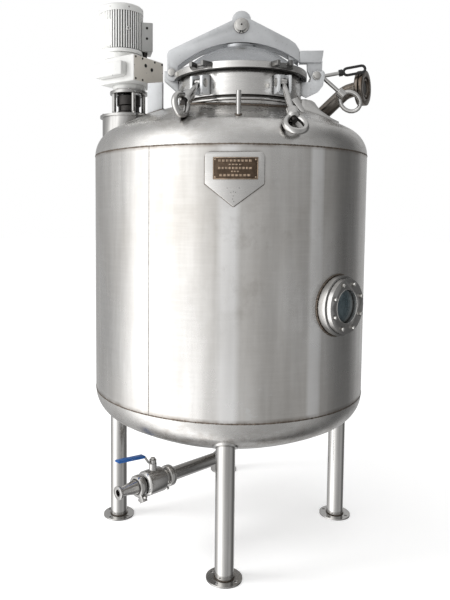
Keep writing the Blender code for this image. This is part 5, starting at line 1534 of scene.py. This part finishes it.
    def camera(self, context):
        heading, pitch, roll = CAMERA_HEADING, CAMERA_PITCH, CAMERA_ROLL
        forward = Vector((
            math.sin(heading) * math.cos(pitch), math.cos(heading) * math.cos(pitch), -math.sin(pitch)
        ))
        right = Vector((math.cos(heading), -math.sin(heading), 0.0))
        up = right.cross(forward)
        right, up = (
            right * math.cos(roll) + up * math.sin(roll),
            up * math.cos(roll) - right * math.sin(roll),
        )
        data = bpy.data.cameras.new("photo_camera")
        data.lens = CAMERA_LENS
        data.sensor_width = 36.0
        data.shift_x, data.shift_y = CAMERA_SHIFT
        data.clip_end = 200.0
        camera = bpy.data.objects.new("photo_camera", data)
        context.scene.collection.objects.link(camera)
        camera.matrix_world = Matrix((
            (right.x, up.x, -forward.x, CAMERA_AT.x),
            (right.y, up.y, -forward.y, CAMERA_AT.y),
            (right.z, up.z, -forward.z, CAMERA_AT.z),
            (0.0, 0.0, 0.0, 1.0),
        ))
        context.scene.camera = camera
        context.scene.view_settings.view_transform = "Standard"


STEPS = (
    VESSEL_OT_studio, VESSEL_OT_body, VESSEL_OT_legs, VESSEL_OT_manway, VESSEL_OT_lid, VESSEL_OT_yoke,
    VESSEL_OT_bolts, VESSEL_OT_fittings, VESSEL_OT_drive, VESSEL_OT_sight, VESSEL_OT_nameplate,
    VESSEL_OT_outlet,
)
GROUPS = (
    ("vessel_body", VesselSettings), ("vessel_fittings", FittingSettings),
    ("vessel_drive", DriveSettings), ("vessel_studio", StudioSettings),
)


class VESSEL_PT_panel(bpy.types.Panel):
    """The vessel's settings and steps"""

    bl_idname = "VESSEL_PT_panel"
    bl_label = "Mixing vessel"
    bl_space_type = "VIEW_3D"
    bl_region_type = "UI"
    bl_category = "Vessel"

    def draw(self, context):
        for name, group in GROUPS:
            column = self.layout.column(align=True)
            for prop in group.__annotations__:
                column.prop(getattr(context.scene, name), prop)
        for step in STEPS:
            self.layout.operator(step.bl_idname)


def register():
    for name, group in GROUPS:
        bpy.utils.register_class(group)
        setattr(bpy.types.Scene, name, bpy.props.PointerProperty(type=group))
    for cls in (*STEPS, VESSEL_PT_panel):
        bpy.utils.register_class(cls)


def unregister():
    for cls in reversed((*STEPS, VESSEL_PT_panel)):
        bpy.utils.unregister_class(cls)
    for name, group in reversed(GROUPS):
        delattr(bpy.types.Scene, name)
        bpy.utils.unregister_class(group)


def main():
    import json

    register()
    make_materials(bpy.context.scene)
    for step in STEPS:
        space, name = step.bl_idname.split(".")
        getattr(getattr(bpy.ops, space), name)()


if __name__ == "__main__":
    main()
